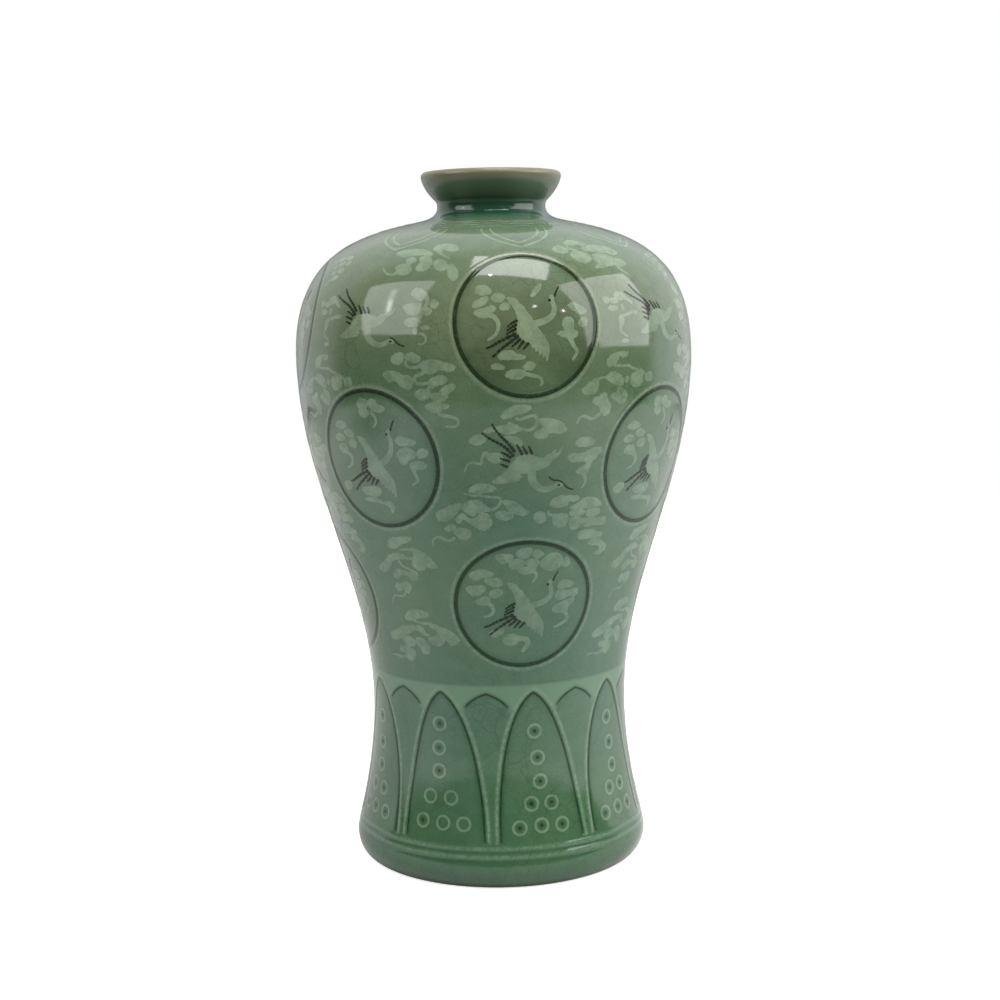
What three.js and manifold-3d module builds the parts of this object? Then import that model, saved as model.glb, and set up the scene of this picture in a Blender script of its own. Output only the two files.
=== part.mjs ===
import * as THREE from "three";
import { mergeVertices } from "three/addons/utils/BufferGeometryUtils.js";
import Module from "manifold-3d";

// Celadon prunus vase, in millimetres, +Z up, standing on its foot ring at z = 0.
// Angles run round the axis from the front (-Y), positive to the viewer's right.
// Places on the wall are lengths along its outline, from the edge of the foot ring upwards.
const HEIGHT = 300;
const BELLY_D = 172.3;
const WAIST_D = 112.6;
const FOOT_D = 129.4;
const BASE_D = 118.2;
const NECK_D = 47;
const LIP_REACH = 6.9;
const WALL = 5;
const NECK_WALL = 6;

// Heights of the turned curves: the foot and waist from the ground, the rest stacked down from the rim.
const FOOT_H = 9;
const WAIST_H = 69.3;
const SHOULDER_H = 57.5;
const ROOT_H = 5.9;
const ROOT_W = 6.5;
const ROOT_SLOPE = 0.23;
const MOUTH_H = 14.8;
const COLLAR_H = 2.6;
const LIP_H = 2.2;

// Base disc with its recess, and the slip that lutes one thrown section to the next.
const FLOOR = 10;
const RECESS = 4;
const RECESS_SIDE = 2;
const FOOT_RING_W = 8.5;
const SLIP_T = 1;
const SLIP_INSET = 0.4;

// Two turned beads above the base seam.
const BEADS = 2;
const BEAD_RISE = 4.1;
const BEAD_PITCH = 3.4;
const BEAD_H = 0.4;
const BEAD_W = 1.6;

// Inlaid lines: dark slip in a groove carved to a V, with a hair of glaze round it.
const LINE_W = 1.4;
const LINE_T = 0.9;
const LINE_SUNK = 0.15;
const CLEAR = 0.3;

// Lotus petals round the lower wall, and between them the tips of the petals behind.
// The petals lean: their feet stand some degrees round from under their tips.
const PETALS = 9;
const PETAL_TURN = 14.4;
const PETAL_LEAN = 2.4;
const PETAL_RISE = 2.6;
const PETAL_H = 62.7;
const PETAL_GAP = 6.8;
const TIP_W = 17.8;
const TIP_H = 5.9;

// Three rows of roundels fill the wall between the petals and the plain shoulder under the neck.
// The lower two rows leave a gap for the belly seam; the upper two, half a turn apart, lap a little.
const ROUNDELS = 4;
const ROW_CLEAR = 11.5;
const ROW_GAP = 5;
const ROW_LAP = 2.2;
const SHOULDER_CLEAR = 58.6;
const LOWER_TURN = 10;
const MIDDLE_TURN = -36.8;
const UPPER_TURN = 8.9;

// Facets round the axis and along the inlaid lines.
const FACETS = 40;
const RING_STEPS = 18;
const PETAL_STEPS = 5;
const TIP_STEPS = 2;

const { degToRad, radToDeg } = THREE.MathUtils;
const wasm = await Module();
wasm.setup();

// Levels of the turned curves.
const lipZ = HEIGHT - LIP_H;
const neckZ = HEIGHT - MOUTH_H;
const rootZ = neckZ - ROOT_H;
const bellyZ = rootZ - SHOULDER_H;

// The outer outline of the wall from the edge of the foot ring to the top of the lip.
// Handles are shares of the stretch that they bend.
function outline() {
  const neckR = NECK_D / 2;
  const rootR = neckR + ROOT_W;
  const lipR = neckR + LIP_REACH;
  const bellyR = BELLY_D / 2;
  const waistR = WAIST_D / 2;
  const footR = FOOT_D / 2;
  const baseR = BASE_D / 2;
  const flare = WAIST_H - FOOT_H;
  const flank = bellyZ - WAIST_H;
  const reach = 0.39 * (bellyR - rootR);
  const droop = ROOT_SLOPE * reach;
  const cup = lipZ - neckZ - COLLAR_H;
  const edge = 0.12 * LIP_REACH;
  const path = new THREE.Path();
  path.moveTo(baseR, 0);
  path.bezierCurveTo(baseR + 0.5 * (footR - baseR), 0, footR, 0.45 * FOOT_H, footR, FOOT_H);
  path.bezierCurveTo(footR, FOOT_H + 0.092 * flare, waistR, WAIST_H - 0.54 * flare, waistR, WAIST_H);
  path.bezierCurveTo(waistR, WAIST_H + 0.346 * flank, bellyR, bellyZ - 0.362 * flank, bellyR, bellyZ);
  path.bezierCurveTo(bellyR, bellyZ + 0.842 * SHOULDER_H, rootR + reach, rootZ - droop, rootR, rootZ);
  path.quadraticCurveTo(neckR, rootZ + ROOT_SLOPE * ROOT_W, neckR, neckZ);
  const neckLength = path.getLength();
  path.quadraticCurveTo(neckR, neckZ + 0.7 * COLLAR_H, neckR + edge, neckZ + COLLAR_H);
  const cupR = lipR - 0.1 * LIP_REACH;
  path.bezierCurveTo(neckR + 3.75 * edge, neckZ + COLLAR_H + 0.21 * cup, cupR, lipZ - 0.4 * cup, lipR, lipZ);
  path.bezierCurveTo(lipR, lipZ + 0.63 * LIP_H, lipR - 0.43 * LIP_H, HEIGHT, lipR - 0.97 * LIP_H, HEIGHT);
  return { path, neckLength, length: path.getLength() };
}

const wall = outline();

// Point of the outer wall at a length along it, with the outward normal.
function at(s) {
  const t = THREE.MathUtils.clamp(s / wall.length, 0, 1);
  const p = wall.path.getPoint(t);
  const d = wall.path.getTangent(t);
  return { r: p.x, z: p.y, nr: d.y, nz: -d.x };
}

// Length along the wall at which it reaches a level.
function lengthAt(z) {
  let low = 0;
  let high = wall.length;
  for (let i = 0; i < 40; i++) {
    const middle = (low + high) / 2;
    if (at(middle).z < z) low = middle;
    else high = middle;
  }
  return low;
}

// Point of the wall at a length along it, moved along the normal; a negative offset is inside.
function wallPoint(s, offset) {
  const q = at(s);
  return new THREE.Vector2(q.r + offset * q.nr, q.z + offset * q.nz);
}

// Points of the wall between two lengths.
function wallRun(from, to, count, offset) {
  const points = [];
  for (let i = 0; i <= count; i++) {
    points.push(wallPoint(from + ((to - from) * i) / count, offset));
  }
  return points;
}

// Inner edge of a flat rim at a length along the wall.
function rimPoint(s) {
  const q = at(s);
  return new THREE.Vector2(q.r - WALL, q.z);
}

function turned(points) {
  const g = new THREE.LatheGeometry(points, FACETS).rotateX(Math.PI / 2);
  g.deleteAttribute("normal");
  g.deleteAttribute("uv");
  return mergeVertices(g, 1e-3);
}

function solidOf(g) {
  return new wasm.Manifold(
    new wasm.Mesh({
      numProp: 3,
      vertProperties: new Float32Array(g.attributes.position.array),
      triVerts: new Uint32Array(g.index.array),
    }),
  );
}

function geometryOf(solid) {
  const m = solid.getMesh();
  const position = new Float32Array(m.numVert * 3);
  for (let i = 0; i < m.numVert; i++) {
    position.set(m.vertProperties.subarray(i * m.numProp, i * m.numProp + 3), i * 3);
  }
  const g = new THREE.BufferGeometry();
  g.setAttribute("position", new THREE.BufferAttribute(position, 3));
  g.setIndex(new THREE.BufferAttribute(new Uint32Array(m.triVerts), 1));
  return g;
}

// A strip that follows a line drawn on the wall as [angle in degrees, length along the wall] pairs.
// Its section is a V between two depths below the wall, mitred at each point of the line.
function strip(line, width, top, bottom, closed) {
  const n = line.length;
  const step = (i, j) => {
    const r = at((line[i][1] + line[j][1]) / 2).r;
    const turn = degToRad(line[j][0] - line[i][0]);
    return new THREE.Vector2(r * turn, line[j][1] - line[i][1]).normalize();
  };
  const position = [];
  line.forEach(([angle, s], i) => {
    const last = closed ? (i + n - 1) % n : Math.max(i - 1, 0);
    const next = closed ? (i + 1) % n : Math.min(i + 1, n - 1);
    const a = last === i ? step(i, next) : step(last, i);
    const b = next === i ? a : step(i, next);
    const along = a.clone().add(b).normalize();
    const reach = width / 2 / Math.max(along.dot(b), 0.5);
    for (const [side, depth] of [[1, top], [-1, top], [0, bottom]]) {
      const q = at(s + side * reach * along.x);
      const turn = degToRad(angle) - (side * reach * along.y) / at(s).r;
      const r = q.r - depth * q.nr;
      position.push(r * Math.sin(turn), -r * Math.cos(turn), q.z - depth * q.nz);
    }
  });
  const index = [];
  for (let i = 0; i < (closed ? n : n - 1); i++) {
    const j = (i + 1) % n;
    for (let k = 0; k < 3; k++) {
      const l = (k + 1) % 3;
      index.push(3 * i + k, 3 * i + l, 3 * j + l, 3 * i + k, 3 * j + l, 3 * j + k);
    }
  }
  if (!closed) {
    const e = 3 * (n - 1);
    index.push(0, 2, 1, e, e + 1, e + 2);
  }
  const g = new THREE.BufferGeometry();
  g.setAttribute("position", new THREE.BufferAttribute(new Float32Array(position), 3));
  g.setIndex(index);
  return g;
}

// The slip of an inlaid line.
function inlay(line, closed) {
  return strip(line, LINE_W, LINE_SUNK, LINE_SUNK + LINE_T, closed);
}

// The groove carved for it, whose sides run parallel to the slip's and out past the wall.
function groove(line, closed) {
  const slope = LINE_W / LINE_T;
  const bottom = LINE_SUNK + LINE_T + CLEAR / Math.sin(Math.atan(slope / 2));
  const top = -2 * CLEAR;
  return solidOf(strip(line, slope * (bottom - top), top, bottom, closed));
}

// A circle on the wall round a centre.
function roundelLine(angle, s, radius) {
  const line = [];
  for (let i = 0; i < RING_STEPS; i++) {
    const turn = (2 * Math.PI * i) / RING_STEPS;
    const up = s + radius * Math.sin(turn);
    const across = (radius * Math.cos(turn)) / at((s + up) / 2).r;
    line.push([angle + radToDeg(across), up]);
  }
  return line;
}

// A pointed arch on the wall, from its left foot over the tip to its right foot.
function archLine(angle, lean, from, to, half, shape, steps) {
  const curve = new THREE.CubicBezierCurve(...shape.map(([x, y]) => new THREE.Vector2(x, y)));
  const right = curve.getPoints(steps);
  const left = right.slice(0, -1).map((p) => new THREE.Vector2(-p.x, p.y));
  const place = (p) => [angle + lean * (1 - p.y) + half * p.x, from + p.y * (to - from)];
  return [...left, ...right.reverse()].map(place);
}

// Right half of each arch, from its foot to its tip, in shares of its half width and height.
const PETAL_SHAPE = [[1, 0], [1, 0.59], [0.46, 0.94], [0, 1]];
const TIP_SHAPE = [[1, 0], [0.8, 0.4], [0.5, 0.75], [0, 1]];

// Lengths along the wall of the seams, beads, petals and rows.
const baseSeam = lengthAt(FLOOR);
const lowerFrom = lengthAt(FLOOR + SLIP_T);
const beadLengths = Array.from({ length: BEADS }, (_, i) => lowerFrom + BEAD_RISE + BEAD_PITCH * i);
const petalFoot = beadLengths[BEADS - 1] + PETAL_RISE;
const petalTip = petalFoot + PETAL_H;
const freeWall = wall.neckLength - petalTip - ROW_CLEAR - SHOULDER_CLEAR;
const roundelR = (freeWall - ROW_GAP + ROW_LAP) / 6;
const lowerRow = petalTip + ROW_CLEAR + roundelR;
const middleRow = lowerRow + 2 * roundelR + ROW_GAP;
const upperRow = middleRow + 2 * roundelR - ROW_LAP;
const bellySeamZ = at((lowerRow + middleRow) / 2).z;
const lowerTo = lengthAt(bellySeamZ - SLIP_T / 2);
const upperFrom = lengthAt(bellySeamZ + SLIP_T / 2);
const upperTo = lengthAt(neckZ - SLIP_T);
const boreR = NECK_D / 2 - NECK_WALL;

const glazed = { color: 0x7c9a80, roughness: 0.18, metalness: 0 };
const bareClay = { color: 0x9a9484, roughness: 0.75, metalness: 0 };
const whiteSlip = { color: 0xc9cfb8, roughness: 0.6, metalness: 0 };
const darkSlip = { color: 0x2c332b, roughness: 0.3, metalness: 0 };

const vase = new THREE.Group();
vase.name = "celadon_vase";

function add(name, geometry, finish) {
  const mesh = new THREE.Mesh(geometry, new THREE.MeshStandardMaterial(finish));
  mesh.name = name;
  vase.add(mesh);
}

// Base: a disc with a foot ring turned under it.
const ringR = BASE_D / 2 - FOOT_RING_W;
const basePoints = [
  new THREE.Vector2(0, RECESS),
  new THREE.Vector2(ringR - RECESS_SIDE, RECESS),
  new THREE.Vector2(ringR, 0),
  ...wallRun(0, baseSeam, 4, 0),
  new THREE.Vector2(0, FLOOR),
];
add("base", turned(basePoints), bareClay);

// Flat ring of slip between two sections, set back from both faces of the wall.
function slipRing(name, inner, outer, z) {
  const corners = [[inner, z], [outer, z], [outer, z + SLIP_T], [inner, z + SLIP_T], [inner, z]];
  const inset = (r) => (r === inner ? r + SLIP_INSET : r - SLIP_INSET);
  add(name, turned(corners.map(([r, y]) => new THREE.Vector2(inset(r), y))), whiteSlip);
}

slipRing("base_slip", at(baseSeam).r - WALL, at(baseSeam).r, at(baseSeam).z);
slipRing("belly_slip", at(lowerTo).r - WALL, at(lowerTo).r, at(lowerTo).z);
slipRing("neck_slip", boreR, NECK_D / 2, at(upperTo).z);

// Every inlaid line, by the section that carries it.
const lines = { lower_body: [], upper_body: [] };
const rows = [
  ["lower", lowerRow, LOWER_TURN, "lower_body"],
  ["middle", middleRow, MIDDLE_TURN, "upper_body"],
  ["upper", upperRow, UPPER_TURN, "upper_body"],
];
for (const [row, s, turn, section] of rows) {
  for (let i = 0; i < ROUNDELS; i++) {
    const line = roundelLine(turn + (360 * i) / ROUNDELS, s, roundelR);
    lines[section].push([`roundel_${row}_${i + 1}`, line, true]);
  }
}
const petalPitch = 360 / PETALS;
const petalHalf = petalPitch / 2 - radToDeg(PETAL_GAP / 2 / at(petalFoot).r);
const tipHalf = radToDeg(TIP_W / 2 / at(petalTip).r);
for (let i = 0; i < PETALS; i++) {
  const angle = PETAL_TURN + petalPitch * i;
  const between = angle + petalPitch / 2;
  const petal = archLine(angle, PETAL_LEAN, petalFoot, petalTip, petalHalf, PETAL_SHAPE, PETAL_STEPS);
  const behind = archLine(between, 0, petalTip - TIP_H, petalTip, tipHalf, TIP_SHAPE, TIP_STEPS);
  lines.lower_body.push([`petal_line_${i + 1}`, petal, false]);
  lines.lower_body.push([`petal_tip_line_${i + 1}`, behind, false]);
}

// A wall section is turned, then grooved for its inlay.
function carved(name, points) {
  let body = solidOf(turned(points));
  for (const [, line, closed] of lines[name]) {
    body = body.subtract(groove(line, closed));
  }
  add(name, geometryOf(body), glazed);
  for (const [node, line, closed] of lines[name]) {
    add(node, inlay(line, closed), darkSlip);
  }
}

// Lower wall: from the base slip to the belly seam, with the beads above the foot.
const beadPoints = beadLengths.flatMap((s) => [
  wallPoint(s - BEAD_W / 2, 0),
  wallPoint(s, BEAD_H),
  wallPoint(s + BEAD_W / 2, 0),
]);
const lowerInner = wallRun(lowerTo, lowerFrom, 5, -WALL).slice(1, -1);
const lowerPoints = [
  wallPoint(lowerFrom, 0),
  ...beadPoints,
  ...wallRun(petalFoot, lowerTo, 10, 0),
  rimPoint(lowerTo),
  ...lowerInner,
  rimPoint(lowerFrom),
  wallPoint(lowerFrom, 0),
];
carved("lower_body", lowerPoints);

// Upper wall: belly, shoulder and the root of the neck.
const upperInner = wallRun(lengthAt(rootZ), upperFrom, 7, -WALL).slice(0, -1);
const upperPoints = [
  ...wallRun(upperFrom, upperTo, 16, 0),
  new THREE.Vector2(boreR, at(upperTo).z),
  new THREE.Vector2(boreR, upperInner[0].y),
  ...upperInner,
  rimPoint(upperFrom),
  wallPoint(upperFrom, 0),
];
carved("upper_body", upperPoints);

// Neck and mouth: a short collar opening into a cupped lip.
const mouthFrom = lengthAt(neckZ);
const mouthPoints = [
  ...wallRun(mouthFrom, wall.length, 9, 0),
  ...wallRun(lengthAt(lipZ), mouthFrom, 4, -NECK_WALL).slice(0, -1),
  new THREE.Vector2(boreR, at(mouthFrom).z),
  wallPoint(mouthFrom, 0),
];
add("neck_mouth", turned(mouthPoints), glazed);

export default vase;
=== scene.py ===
import math

import bpy
import numpy as np
from mathutils import Matrix, Vector, geometry


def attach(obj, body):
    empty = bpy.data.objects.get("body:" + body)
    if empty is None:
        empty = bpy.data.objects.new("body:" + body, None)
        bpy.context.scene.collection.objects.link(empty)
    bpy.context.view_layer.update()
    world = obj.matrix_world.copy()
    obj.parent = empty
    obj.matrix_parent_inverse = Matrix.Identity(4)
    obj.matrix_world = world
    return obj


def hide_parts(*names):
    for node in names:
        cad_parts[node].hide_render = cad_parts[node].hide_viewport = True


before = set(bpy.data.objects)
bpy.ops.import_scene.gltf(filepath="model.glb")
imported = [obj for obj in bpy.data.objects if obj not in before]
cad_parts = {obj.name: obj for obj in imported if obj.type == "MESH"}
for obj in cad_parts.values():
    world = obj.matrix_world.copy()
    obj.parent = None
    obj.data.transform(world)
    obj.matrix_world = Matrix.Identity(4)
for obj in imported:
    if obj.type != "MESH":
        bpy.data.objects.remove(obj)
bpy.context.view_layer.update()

# Celadon vase. Lengths here are millimetres and become metres when a mesh is made.
# A place on the wall is an angle round the axis from the front (-Y), positive to the viewer's
# right, and s, the length along the outer outline from the edge of the foot ring.
MM = 0.001
HEIGHT = 300

# Outer outline, (radius, height) control points of its curves from the foot ring to the lip.
OUTLINE = [
    [(59.1, 0), (61.9, 0), (64.7, 4.05), (64.7, 9)],
    [(64.7, 9), (64.7, 14.55), (56.3, 36.74), (56.3, 69.3)],
    [(56.3, 69.3), (56.3, 122.07), (86.15, 166.6), (86.15, 221.8)],
    [(86.15, 221.8), (86.15, 270.2), (51.9, 274.26), (30, 279.3)],
    [(30, 279.3), (23.5, 280.8), (23.5, 285.2)],
    [(23.5, 285.2), (23.5, 287.02), (24.33, 287.8)],
    [(24.33, 287.8), (26.6, 289.9), (29.71, 293.8), (30.4, 297.8)],
    [(30.4, 297.8), (30.4, 299.19), (29.45, 300), (28.27, 300)],
]
WALL = 5
NECK_WALL = 6
BORE_R = 17.5
FLOOR = 10
RECESS = 4
RING_IN = 50.6

# Lotus petals, which lean: their feet stand some degrees round from under their tips.
PETALS = 9
PETAL_TURN = 14.4
PETAL_LEAN = 2.4
PETAL_FOOT = 23.1
PETAL_TIP = 85.8
PETAL_GAP = 6.8
TIP_HALF = 8.9
TIP_H = 5.9
PETAL_SHAPE = [(1, 0), (1, 0.59), (0.46, 0.94), (0, 1)]
TIP_SHAPE = [(1, 0), (0.8, 0.4), (0.5, 0.75), (0, 1)]
BAND_TOP = 89.3
BEADS = (17.1, 20.5)

# Roundels: each row's turn, place along the wall, half width and half height, and how far every
# second one of the row is set round and along the wall, as carved by eye.
ROWS = {"lower": (9.9, 125.95, 28.5, 27.6, 0, 0), "middle": (-36.7, 188.6, 28.95, 28.6, 0.5, -1.8),
        "upper": (9.0, 244.0, 28.4, 29.2, 0, 0)}

# Lappets that hang from the neck, and fine wavy lines close under it.
LAPPET_SHAPE = [(1, 0), (1, 0.5), (0.5, 0.8), (0, 1)]
LAPPET_TOP = 297
LAPPET_TURN = 9.8
WAVES = (299.5, 303.0, 306.5, 310.0)
WAVE_H = 1.6
WAVE_TURNS = 12
WAVE_SHIFT = 0.8
WAVE_STEPS = 480

# Carving: how far from its middle each line, ridge, bead and wave fades out, how far a ridge stands
# outside its line, and how high or deep they are.
RING_FADE = 0.95
PETAL_FADE = 0.8
TIP_FADE = 0.75
BEAD_FADE = 0.75
WAVE_FADE = 0.8
RING_RIDGE_AT = 1.75
RING_RIDGE_FADE = 0.62
PETAL_RIDGE_AT = 1.6
PETAL_RIDGE_FADE = 0.72
RING_RIDGE_UP = 0.10
PETAL_RIDGE_UP = 0.13
BEAD_UP = 0.09
WAVE_UP = 0.06
LINE_DOWN = 0.08
VALLEY_DOWN = 0.04
LINE_OF_TIP = 0.8

# Glaze on the carving: it lies thin on ridges and beads, pools in lines and valleys, and is browner
# inside the roundels of one stretch of the wall; just inside a line the colour is darkened as painted shade.
THIN_RING = 0.85
THIN_PETAL = 0.95
THIN_BEAD = 0.55
POOL_LINE = 0.55
POOL_SHADE = 0.22
POOL_VALLEY = 0.25
RING_SHADE_AT = 1.2
RING_SHADE_FADE = 1.4
PETAL_SHADE_AT = 1.0
PETAL_SHADE_FADE = 1.2
BROWN_FROM = (214, 222)
BROWN_TO = (275, 225)

# Slip: widths of the lines, sizes of the stamps, how far each kind stands proud of the wall and how
# far it goes in, a feather's two widths and its barbs, and how much fuller than its points a cloud or
# crane is and how ragged its edge.
RING_LINE_W = 1.65
PETAL_LINE_W = 0.8
TIP_LINE_W = 0.7
WAVE_LINE_W = 0.45
STAMP_R = 2.8
STAMP_W = 1.05
HOLLOW_R = 1.5
CENTRE_R = 0.75
LINE_LIFT = 0.05
CLOUD_LIFT = 0.045
CRANE_LIFT = 0.06
FEATHER_LIFT = 0.075
HOLLOW_LIFT = 0.04
CENTRE_LIFT = 0.055
LINE_IN = 0.4
INLAY_IN = 0.3
PLUME = (1.3, 0.7, 0.4)
QUILL = (1.25, 0.6, 0.3)
CLOUD_FULLER = 0.28
CRANE_FULLER = 0.1
RAGGED = 0.4
FILL_STEP = 2.4

# Mesh of the body: columns round it, how finely a cell near the carving is split, how near that is,
# and where the wall, the inside, the underside and the two round ends lie in the baked picture.
COLUMNS = 256
SPLIT = 3
NEAR_AT = 0.9
NEAR_LINE = 3.6
NEAR_TIP = 2.6
NEAR_BAND = 1.2
FINE_FROM = 22.8
FINE_TO = 316
WALL_V = 0.22
INNER_V = (0.20, 0.09)
UNDER_V = (0.05, 0.08)
FLOOR_END = (0.02, 0.02)
UNDER_END = (0.08, 0.02)
END_R = 0.018


# Curves

def bezier(points, t):
    p = [np.array(q, float)[None, :] for q in points]
    t = np.asarray(t, float)[:, None]
    while len(p) > 1:
        p = [a * (1 - t) + b * t for a, b in zip(p, p[1:])]
    return p[0]


def outline_table():
    t = np.linspace(0, 1, 600)
    pts = [bezier(OUTLINE[0], t[:1])]
    for curve in OUTLINE:
        pts.append(bezier(curve, t[1:]))
    pts = np.concatenate(pts)
    step = np.hypot(*np.diff(pts, axis=0).T)
    s = np.concatenate([[0], np.cumsum(step)])
    tangent = np.gradient(pts, s, axis=0)
    tangent[0], tangent[-1] = (1, 0), (-1, 0)
    tangent /= np.hypot(*tangent.T)[:, None]
    return s, pts, tangent


S, RZ, TANGENT = outline_table()
LENGTH = S[-1]


def radius(s):
    return np.interp(s, S, RZ[:, 0])


def length_at(z):
    return float(np.interp(z, RZ[:, 1], S))


def wall_frame(theta, s):
    """Directions along the outline, round the axis and out of the wall."""
    tr, tz = np.interp(s, S, TANGENT[:, 0]), np.interp(s, S, TANGENT[:, 1])
    along = np.stack([tr * np.sin(theta), -tr * np.cos(theta), tz], -1)
    across = np.stack([np.cos(theta), np.sin(theta), 0 * theta], -1)
    out = np.stack([tz * np.sin(theta), -tz * np.cos(theta), -tr], -1)
    return along, across, out


def smooth_line(points, steps=4, closed=False):
    """Catmull-Rom curve through the points."""
    p = np.array(points, float)
    n = len(p)
    out = []
    for i in range(n if closed else n - 1):
        if closed:
            a, b, c, d = p[i - 1], p[i], p[(i + 1) % n], p[(i + 2) % n]
        else:
            a, b, c, d = p[max(i - 1, 0)], p[i], p[i + 1], p[min(i + 2, n - 1)]
        for t in np.arange(steps) / steps:
            out.append(0.5 * (2 * b + (c - a) * t + (2 * a - 5 * b + 4 * c - d) * t * t
                              + (3 * b - a - 3 * c + d) * t ** 3))
    if not closed:
        out.append(p[-1])
    return np.array(out)


# Lines of the carving

def arch(half, low, high, shape, steps):
    """Right half of a pointed arch from foot to tip, as (angle, s)."""
    q = bezier(shape, np.linspace(0, 1, steps))
    return np.stack([q[:, 0] * half, low + q[:, 1] * (high - low)], -1)


def lean(s):
    share = np.clip((PETAL_TIP - s) / (PETAL_TIP - PETAL_FOOT), 0, 1)
    return math.radians(PETAL_LEAN) * share


PETAL_PITCH = 2 * math.pi / PETALS
PETAL_HALF = PETAL_PITCH / 2 - PETAL_GAP / 2 / float(radius(PETAL_FOOT))
TIP_ANGLE = TIP_HALF / float(radius(PETAL_TIP))
PETAL_ARCH = arch(PETAL_HALF, PETAL_FOOT, PETAL_TIP, PETAL_SHAPE, 40)
TIP_ARCH = arch(TIP_ANGLE, PETAL_TIP - TIP_H, PETAL_TIP, TIP_SHAPE, 14)


def arch_line(half_arch, turn, leaning):
    """The whole arch, from its left foot over the tip to its right foot."""
    line = np.concatenate([half_arch * (-1, 1), half_arch[-2::-1]])
    line[:, 0] += turn + leaning * lean(line[:, 1])
    return line


def row_places(row):
    """Turn and place along the wall of a row's four roundels."""
    turn, s, _, _, turn_by, along_by = ROWS[row]
    return [(turn + 90 * i + turn_by * (i % 2), s + along_by * (i % 2)) for i in range(4)]


def roundel_line(row, turn, s, steps=160):
    a = 2 * math.pi * np.arange(steps) / steps
    half_width, half_height = ROWS[row][2:4]
    along = s + half_height * np.sin(a)
    return np.stack([math.radians(turn) + half_width * np.cos(a) / radius((s + along) / 2), along], -1)


def wave_line(k, theta):
    return WAVES[k] + WAVE_H * np.abs(np.cos(WAVE_TURNS * theta + WAVE_SHIFT * k))


def fold(theta, pitch):
    """Angle from the nearest of the places that repeat at a pitch."""
    return (theta + pitch / 2) % pitch - pitch / 2


def ring_distance(theta, s):
    """Distance outside the nearest roundel's line; negative inside it."""
    best = np.full(np.shape(theta), 99.0)
    for turn, row, half_width, half_height, turn_by, along_by in ROWS.values():
        quarter = (theta - math.radians(turn)) / (math.pi / 2)
        odd = np.round(quarter) % 2
        across = (quarter - np.round(quarter)) * math.pi / 2 - math.radians(turn_by) * odd
        centre = row + along_by * odd
        x = across * radius((s + centre) / 2)
        d = (np.hypot(x / half_width, (s - centre) / half_height) - 1) * (half_width + half_height) / 2
        best = np.where(np.abs(d) < np.abs(best), d, best)
    return best


def arch_distance(theta, s, turn, half_arch):
    """Distance outside the nearest arch of a ring of them; negative inside it."""
    best = np.full(np.shape(theta), 99.0)
    near = (s > PETAL_FOOT - 6) & (s < PETAL_TIP + 8)
    th, sv = np.abs(fold(theta[near] - turn, PETAL_PITCH)), s[near]
    r = radius(sv)
    d2 = np.full(th.shape, 1e9)
    for (a0, s0), (a1, s1) in zip(half_arch, half_arch[1:]):
        px, py = (th - a0) * r, sv - s0
        vx, vy = (a1 - a0) * r, s1 - s0
        t = np.clip((px * vx + py * vy) / (vx * vx + vy * vy), 0, 1)
        d2 = np.minimum(d2, (px - t * vx) ** 2 + (py - t * vy) ** 2)
    inside = (th < np.interp(sv, half_arch[:, 1], half_arch[:, 0])) & (sv < PETAL_TIP)
    best[near] = np.where(inside, -1, 1) * np.sqrt(d2)
    return best


def petal_distance(theta, s):
    return arch_distance(theta - lean(s), s, math.radians(PETAL_TURN), PETAL_ARCH)


def tip_distance(theta, s):
    return arch_distance(theta, s, math.radians(PETAL_TURN) + PETAL_PITCH / 2, TIP_ARCH)


def bump(d, width):
    return np.exp(-(d / width) ** 2)


def ramp_up(x, low, high):
    return np.clip((x - low) / (high - low), 0, 1)


def relief(theta, s):
    """Height of the carving over the turned wall, and how thin or pooled the glaze is there, with painted
    shade just inside the lines.
    """
    ring, petal, tip = ring_distance(theta, s), petal_distance(theta, s), tip_distance(theta, s)
    foot = ramp_up(s, PETAL_FOOT - 1.2, PETAL_FOOT)
    line = bump(ring, RING_FADE) + foot * bump(petal, PETAL_FADE) + LINE_OF_TIP * bump(tip, TIP_FADE)
    # Painted shade: the colour darkens just inside a roundel's line and a petal's line.
    shade = np.where(ring < 0, bump(ring + RING_SHADE_AT, RING_SHADE_FADE), 0)
    shade = shade + foot * np.where(petal < 0, bump(petal + PETAL_SHADE_AT, PETAL_SHADE_FADE), 0)
    ring_ridge = bump(ring - RING_RIDGE_AT, RING_RIDGE_FADE)
    petal_ridge = foot * bump(petal - PETAL_RIDGE_AT, PETAL_RIDGE_FADE)
    bead = sum(bump(s - b, BEAD_FADE) for b in BEADS)
    valley = bump(s - (BEADS[0] + BEADS[1]) / 2, 0.8) + bump(s - BEADS[0] + 1.9, 0.9)
    waves = sum(bump(s - wave_line(k, theta), WAVE_FADE) for k in range(len(WAVES)))
    h = (RING_RIDGE_UP * ring_ridge + PETAL_RIDGE_UP * petal_ridge + BEAD_UP * bead + WAVE_UP * waves
         - LINE_DOWN * line - VALLEY_DOWN * valley)
    tip_foot = PETAL_TIP - TIP_H
    band = ramp_up(np.minimum(petal, tip), 0.5, 1.3) * ramp_up(s, tip_foot - 3, tip_foot)
    band = band * ramp_up(s, BAND_TOP + 0.35, BAND_TOP - 0.35)
    thin = np.clip(THIN_RING * ring_ridge + THIN_PETAL * petal_ridge + THIN_BEAD * bead, 0, 1)
    pool_and_shade = np.clip(POOL_LINE * line + POOL_SHADE * shade + POOL_VALLEY * valley, 0, 1)
    brown = np.where(ring < 0, ramp_up(s, *BROWN_FROM) * ramp_up(s, *BROWN_TO), 0)
    return h, np.stack([thin, pool_and_shade, band, brown], -1)


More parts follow.
